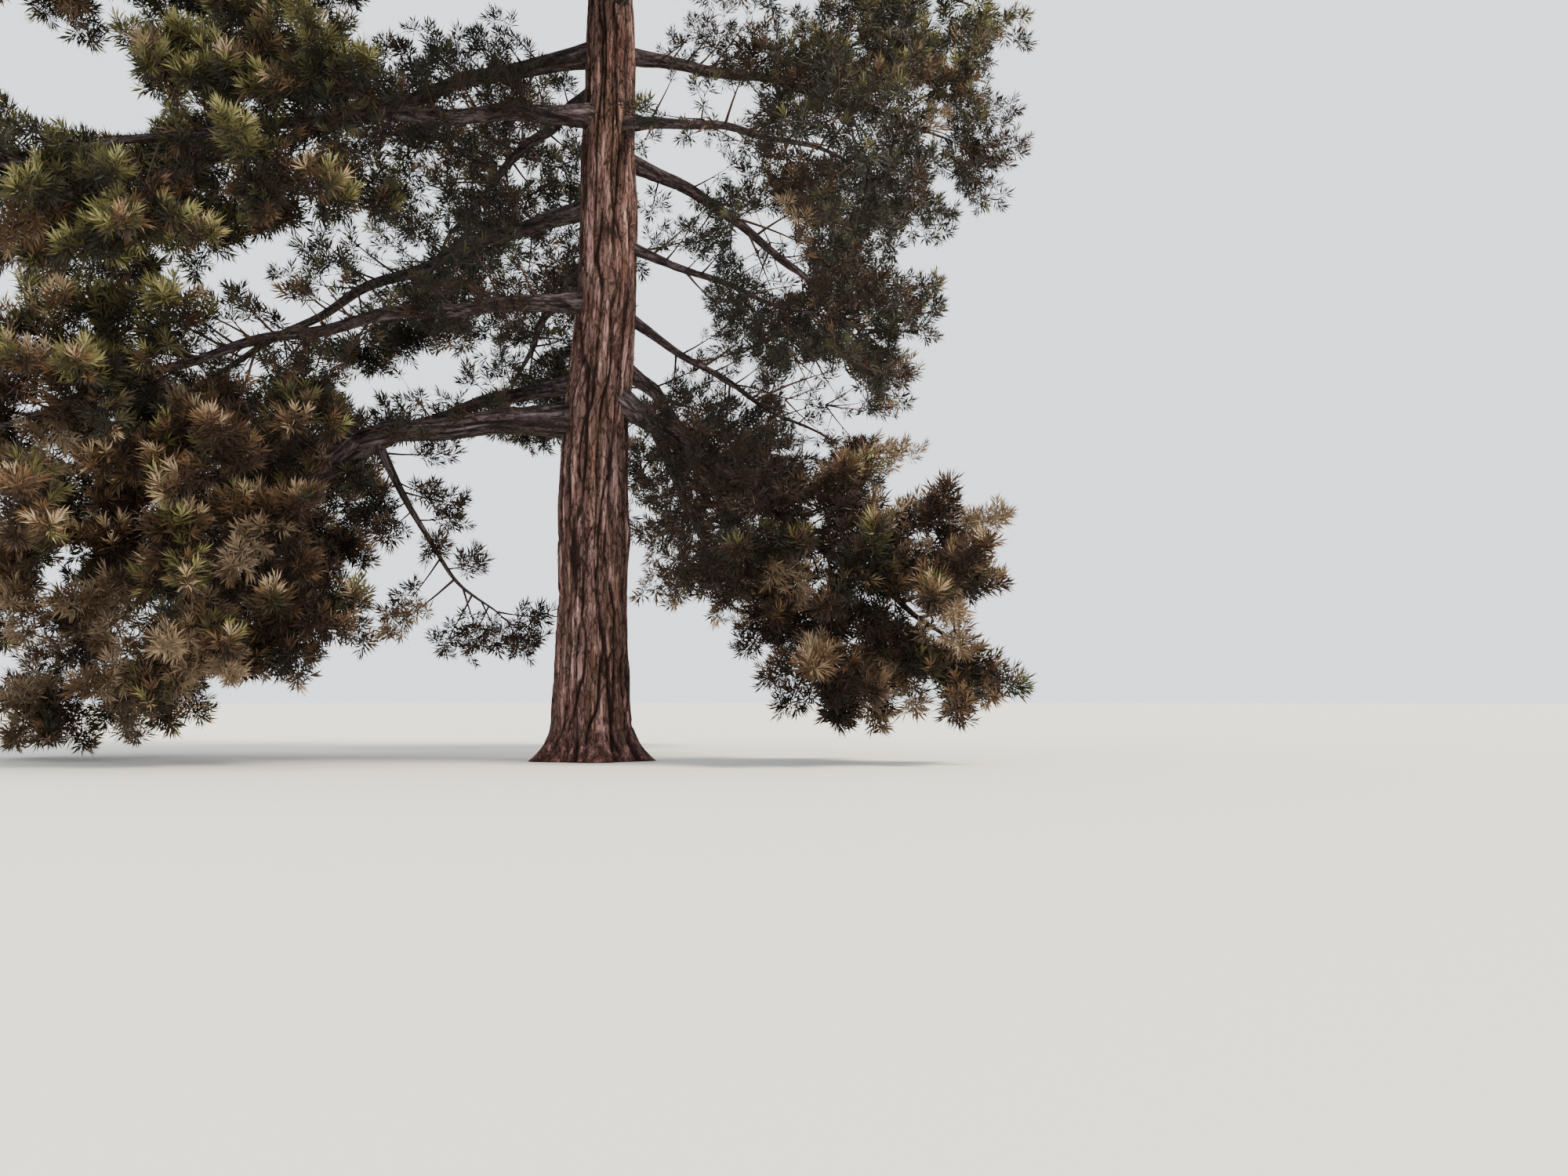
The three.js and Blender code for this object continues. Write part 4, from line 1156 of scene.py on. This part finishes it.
def cork_colour(add, place, patterns, stops, streak, foot_colour, foot_height):
    """The colour of pine cork: a ramp by its height, with streaks and tints over it."""
    ramp = add("ValToRGB", links={"Fac": patterns["height"]})
    set_ramp(ramp.color_ramp, stops)
    # Pale streaks 0.1 m wide and a metre long, where the outer cork has split away
    wide = add("Mapping", {"Scale": (1, 1, 0.1)}, {"Vector": place})
    split = add("TexNoise", {"Scale": 9, "Detail": 5, "Roughness": 0.65}, {"Vector": wide})
    edge = {"interpolation_type": "SMOOTHSTEP", "From Min": 0.5, "From Max": 0.66}
    pale = add("MapRange", edge, {"Value": split})
    on_plates = add("Math", {"operation": "MULTIPLY"}, {0: pale, 1: patterns["standing"]})
    # In a node that mixes colours, inputs 6 and 7 are the two colours, and output 2 the result
    colour = add("Mix", {"data_type": "RGBA", 7: linear(streak)}, {0: on_plates, 6: ramp})
    # Patches 0.3 m wide and ten times as long, where algae tint the bark olive
    damp = add("TexNoise", {"Scale": 3.2, "Detail": 2}, {"Vector": wide})
    algae = add("MapRange", {"From Min": 0.5, "From Max": 0.62, "To Max": 0.6}, {"Value": damp})
    # Patches 0.45 m across where the bark is redder, and the foot, where it is worn
    weathered = add("TexNoise", {"Scale": 2.2, "Detail": 3}, {"Vector": place})
    patch = {"From Min": 0.45, "From Max": 0.72, "To Max": 0.55}
    red_patch = add("MapRange", patch, {"Value": weathered})
    above_foot = add("SeparateXYZ", links={"Vector": place}).outputs["Z"]
    low = {"From Min": foot_height, "From Max": 0.0, "To Max": 0.6}
    foot = add("MapRange", low, {"Value": above_foot})
    redness = add("Math", {"operation": "MAXIMUM"}, {0: red_patch, 1: foot})
    for tint, amount in (("#b0a888", algae), (foot_colour, redness)):
        over = {"data_type": "RGBA", "blend_type": "MULTIPLY", 7: linear(tint)}
        colour = add("Mix", over, {0: amount, 6: colour.outputs[2]})
    return colour.outputs[2]


def furrowed_bark(name, stops, streak, foot_colour, foot_height):
    """Old pine bark, dead cork in thick plates: dark and red-brown down in its furrows, grey and
    rubbed pale on its plates, with scales of about 25 mm and fibres that run with the wood. It
    reddens where the root flare wears, up to foot_height. Cork is matt, so its roughness is high."""
    material = new_material(name)
    add = partial(add_node, material)
    place = add("Attribute", {"attribute_name": "grain"}).outputs["Vector"]
    patterns = cork_patterns(add, place)
    rough = add("MapRange", {"To Min": 0.82, "To Max": 1.0}, {"Value": patterns["fibre"]})
    normal = {}
    for pattern, (strength, distance) in BARK_BUMPS.items():
        depth = {"Strength": strength, "Distance": distance}
        normal = {"Normal": add("Bump", depth, {"Height": patterns[pattern], **normal})}
    colour = cork_colour(add, place, patterns, stops, streak, foot_colour, foot_height)
    links = {"Base Color": colour, "Roughness": rough, **normal}
    shader = add("BsdfPrincipled", {"IOR": 1.45, "Specular IOR Level": 0.25}, links)
    return finish_material(material, shader)


def plain_growth(name, colour, roughness):
    """Living growth too fine for a pattern to show: waxed needles, or the skin of a thin twig. Its
    colour is one tone of several that are dealt out by spray. The needles' tones also carry painted
    light and shade."""
    material = new_material(name)
    settings = {"Base Color": linear(colour), "Roughness": roughness, "IOR": 1.45}
    shader = add_node(material, "BsdfPrincipled", {**settings, "Specular IOR Level": 0.3})
    return finish_material(material, shader)


trunk_bark = furrowed_bark(
    "old_pine_bark",
    [(0.0, "#25150f"), (0.35, "#3a2925"), (0.65, "#533e38"), (1.0, "#775d57")],
    streak="#cba49e",
    foot_colour="#a8624a",
    foot_height=1.3,
)
# The boughs' bark is greyer than the trunk's, and darker in every stop and streak as painted shade of
# the foliage over them
bough_bark = furrowed_bark(
    "bough_bark",
    [(0.0, "#1a1515"), (0.35, "#302729"), (0.7, "#44393b"), (1.0, "#5f5356")],
    streak="#83777a",
    foot_colour="#96614c",
    foot_height=0.01,
)
GREY_TWIG_SHARE = 0.6
TWIG_TONE_BANDS = 3  # in a metre of height
TWIG_TONES = [
    plain_growth("grey_twig_skin", "#3f322b", 0.8),
    plain_growth("red_twig_skin", "#4a352b", 0.8),
]
# Pairs of a greener tone and a browner one. The first pair is the dried needles' own colour. The rest
# are darker and lighter copies of the living needles' colour, painted shade and painted light, from
# the least light to the most
NEEDLE_TONES = [
    plain_growth("dry_needles", "#513e2b", 0.7),
    plain_growth("bleached_needles", "#7d6b56", 0.7),
    plain_growth("shaded_needles", "#23221a", 0.6),
    plain_growth("shaded_brown_needles", "#2e2119", 0.6),
    plain_growth("painted_half_shade_needles", "#3e3a24", 0.55),
    plain_growth("painted_half_shade_brown_needles", "#493727", 0.55),
    plain_growth("painted_lit_needles", "#56522f", 0.5),
    plain_growth("painted_lit_brown_needles", "#664f38", 0.5),
    plain_growth("painted_sunlit_needles", "#858053", 0.5),
    plain_growth("painted_sunlit_brown_needles", "#a48f72", 0.5),
]
LIGHT_STEPS = [0, 0.36, 0.56, 0.74]  # between one pair and the next
BROWN_SHARE = 0.35  # of the crown's tufts, that take the browner tone of their pair
LOW_BROWN_SHARE = 0.38  # what is added to that between these two heights
LOW_BROWN_HEIGHTS = (7.5, 3.5)
CELL_WEIGHT = 0.65  # of a cell of the crown in that choice, against the single tuft
CELL_STEPS = [1, 13, 37]  # along X, Y and Z, so that near cells differ in their number

# The crown's parts: the limbs whose twigs and whose needles are joined into one piece each, the
# shoots on an arm there, the branchlets on a metre of limb, and the tufts' scale.
CROWN = {
    "left_low": (["left_first", "left_second", "left_drape", "left_skirt"], 19, 7, 1.35),
    "left_middle": (["left_third", "left_fourth", "left_fifth"], 18, 12, 1.3),
    "left_high": (["left_sixth", "left_seventh", "front_second"], 14, 10, 1.35),
    "right_low": (["right_first"], 22, 16, 1.35),
    "right_middle": (["right_second", "right_third"], 11, 11, 1.1),
    "right_high": (["right_fourth", "right_fifth", "front_first"], 10, 10, 1.1),
    "back": (["back_first", "back_second", "back_third", "back_fourth"], 8, 5, 1.35),
    "upper_low": (["upper_1", "upper_2", "upper_3", "upper_4"], 7, 3, 1.45),
    "upper_high": (["upper_5", "upper_6", "upper_7", "upper_8", "upper_9", "top"], 7, 3, 1.45),
}


def trunk_piece():
    """The trunk's skin: its radius, the buttress roots and broad swellings, under the bark."""
    below = np.linspace(0, TRUNK_ROWS_SPLIT, TRUNK_ROWS_BELOW)
    above = np.linspace(TRUNK_ROWS_SPLIT, TRUNK_TOP, TRUNK_ROWS_ABOVE + 1)[1:]
    height = np.concatenate([below, above])
    turn = np.arange(TRUNK_COLUMNS) / TRUNK_COLUMNS
    radius = trunk_radius(height)
    girth = radius / TRUNK_RADIUS
    surface = radius[:, None] + buttress(height[:, None], 2 * math.pi * turn[None])
    for around, length, swell, seed in SWELLINGS:
        lumps = wrapped_noise(turn[None] * around, height[:, None] / length, around, seed)
        surface = surface + swell * lumps * np.minimum(girth, 1)[:, None]
    level_ways = [np.tile(way, (len(height), 1)) for way in ([1.0, 0, 0], [0, 1.0, 0])]
    path = (trunk_middle(height), level_ways, height)
    plates = round(2 * math.pi * TRUNK_RADIUS / PLATE_WIDTH)
    depth = FURROW_DEPTH * np.minimum(girth, FURROW_GIRTH) ** FURROW_POWER
    cork = (plates, PLATE_LENGTH, depth)
    piece = bark_piece("bark_trunk", trunk_bark, path, surface, cork, TRUNK_BARK_SEED)
    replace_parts(piece, "trunk")


def bough_piece(limb, index):
    """A limb's skin from inside its host to its tip."""
    rows = round(limb.length / BOUGH_ROW_LENGTH)
    share = np.linspace(BOUGH_SKIN_FROM * limb.host_radius / limb.length, 1, rows)
    radius = limb.thickness(share)
    columns = int(np.clip(round(2 * math.pi * limb.radius / BOUGH_COLUMN_WIDTH), *BOUGH_COLUMNS))
    surface = np.repeat(radius[:, None], columns, axis=1)
    path = (limb.grown_point(share), square_to(limb.direction(share)), share * limb.length)
    plates = max(FEWEST_PLATES, round(2 * math.pi * limb.radius / BOUGH_PLATE_WIDTH))
    plate_length = PLATE_LENGTH if limb.radius > STOUT_BOUGH else BOUGH_PLATE_LENGTH
    cork = (plates, plate_length, BOUGH_FURROW_SHARE * radius)
    seed = BOUGH_BARK_SEED + BOUGH_BARK_SEED_STEP * index
    return bark_piece(f"bark_{limb.name}", bough_bark, path, surface, cork, seed)


def join(parts):
    """Several arrays of points and faces as one pair."""
    starts = np.cumsum([0] + [len(points) for points, _ in parts])
    faces = [faces + start for (_, faces), start in zip(parts, starts)]
    return np.concatenate([points for points, _ in parts]), np.concatenate(faces)


def twigs_piece(name, foliage):
    """A part's twigs as one piece, grey or reddish by bands of their height."""
    points, faces = join(foliage.twigs)
    band = np.floor(points[faces[:, 0], 2] * TWIG_TONE_BANDS)
    tones = (chance(band) > GREY_TWIG_SHARE).astype(int)
    piece = add_mesh(f"twigs_{name}", points, [faces], TWIG_TONES, tones, is_smooth=True)
    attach(piece, "root")


def tones_of(tips, seed, glow):
    """The tone of every needle. A tuft's light chooses its pair of tones, which paints its light and
    shade. Its older needles are one pair darker, partly for their age and partly as painted shade
    inside the tuft. Chance, by cells of the crown and by tufts, chooses the browner tone of
    the pair, and does so more often low down."""
    lit = np.maximum(glow + TUFT_CHANCE * (chance(seed * 0.77) - 0.5), LEAST_LIGHT)
    lit = np.where(glow < DRY / 2, DRY, lit)
    pair = np.searchsorted(LIGHT_STEPS, lit)[:, None]
    # Older needles one pair darker: partly their age, partly painted shade inside the tuft
    pair = pair - ((pair > 1) & (np.arange(NEEDLES) >= YOUNG_NEEDLES))
    cell = np.floor(tips / SPRAY_SPACING) @ CELL_STEPS
    odds = CELL_WEIGHT * chance(cell) + (1 - CELL_WEIGHT) * chance(seed * 0.43)
    browner = odds < BROWN_SHARE + LOW_BROWN_SHARE * smooth(*LOW_BROWN_HEIGHTS, tips[:, 2])
    return (2 * pair + browner[:, None]).ravel()


def needles_piece(name, foliage, members, scale):
    """A part's needles as one piece, in place of its limbs' masses. Tufts differ a little in size
    by chance, and are smaller near the trunk."""
    tips, ways, seed, glow = (np.concatenate(column) for column in zip(*foliage.tufts))
    out = np.hypot(tips[:, 0], tips[:, 1])
    size = scale * (TUFT_SIZES[0] + TUFT_SIZES[1] * chance(seed * 0.31))
    size = size * (INNER_TUFT + (1 - INNER_TUFT) * smooth(*INNER_TO_OUTER, out))
    points, faces = needle_tufts(tips, ways, size, seed)
    tones = tones_of(tips, seed, glow)
    piece = add_mesh(f"needles_{name}", points, [faces], NEEDLE_TONES, tones)
    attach(piece, "root")
    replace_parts(piece, *(f"foliage_{member}" for member in members))


trunk_piece()
for index, limb in enumerate(limbs[:-1]):
    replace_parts(bough_piece(limb, index), f"bough_{limb.name}")
for index, branch in enumerate(drooping.values()):
    bough_piece(branch, len(limbs) + index)
for name, (members, shoots_per_arm, twigs_per_metre, scale) in CROWN.items():
    foliage = Foliage(shoots_per_arm, twigs_per_metre)
    dress_limbs(foliage, members)
    twigs_piece(name, foliage)
    needles_piece(name, foliage, members, scale)


def pale_floor():
    """A wide level disc 2 mm under the tree, for its shadow to fall on."""
    corners = 96
    radius = 260
    turn = 2 * math.pi * np.arange(corners) / corners
    rim = [np.cos(turn) * radius, np.sin(turn) * radius, np.full(corners, -0.002)]
    material = new_material("pale_studio_floor")
    settings = {"Base Color": linear("#cfccc4"), "Roughness": 0.95}
    finish_material(material, add_node(material, "BsdfPrincipled", settings))
    disc = np.arange(corners)[None]
    add_mesh("floor", np.stack(rim, axis=-1), [disc], [material])


def studio_light():
    """A pale dome of light all round, and one broad soft lamp high on the right."""
    world = bpy.data.worlds.new("studio")
    bpy.context.scene.world = world
    world.use_nodes = True
    sky = world.node_tree.nodes["Background"]
    sky.inputs["Color"].default_value = linear("#eaeff5")
    sky.inputs["Strength"].default_value = 2.1
    lamp = bpy.data.lights.new("key", "SUN")
    lamp.energy = 8
    lamp.angle = math.radians(20)
    lamp.color = linear("#fff3e0")[:3]
    key = bpy.data.objects.new("key", lamp)
    key.rotation_euler = (math.radians(12), math.radians(42), 0)
    bpy.context.scene.collection.objects.link(key)


def viewer():
    """A camera at the viewer's eye, a metre over the tree's foot, that looks four degrees upwards
    through a slightly wide lens."""
    data = bpy.data.cameras.new("viewer")
    data.lens = 35
    data.sensor_width = 36
    data.clip_end = 1000
    camera = bpy.data.objects.new("viewer", data)
    camera.location = EYE
    camera.rotation_euler = (math.radians(90 + LOOKS_UP), 0, 0)
    bpy.context.scene.collection.objects.link(camera)
    bpy.context.scene.camera = camera


pale_floor()
studio_light()
viewer()
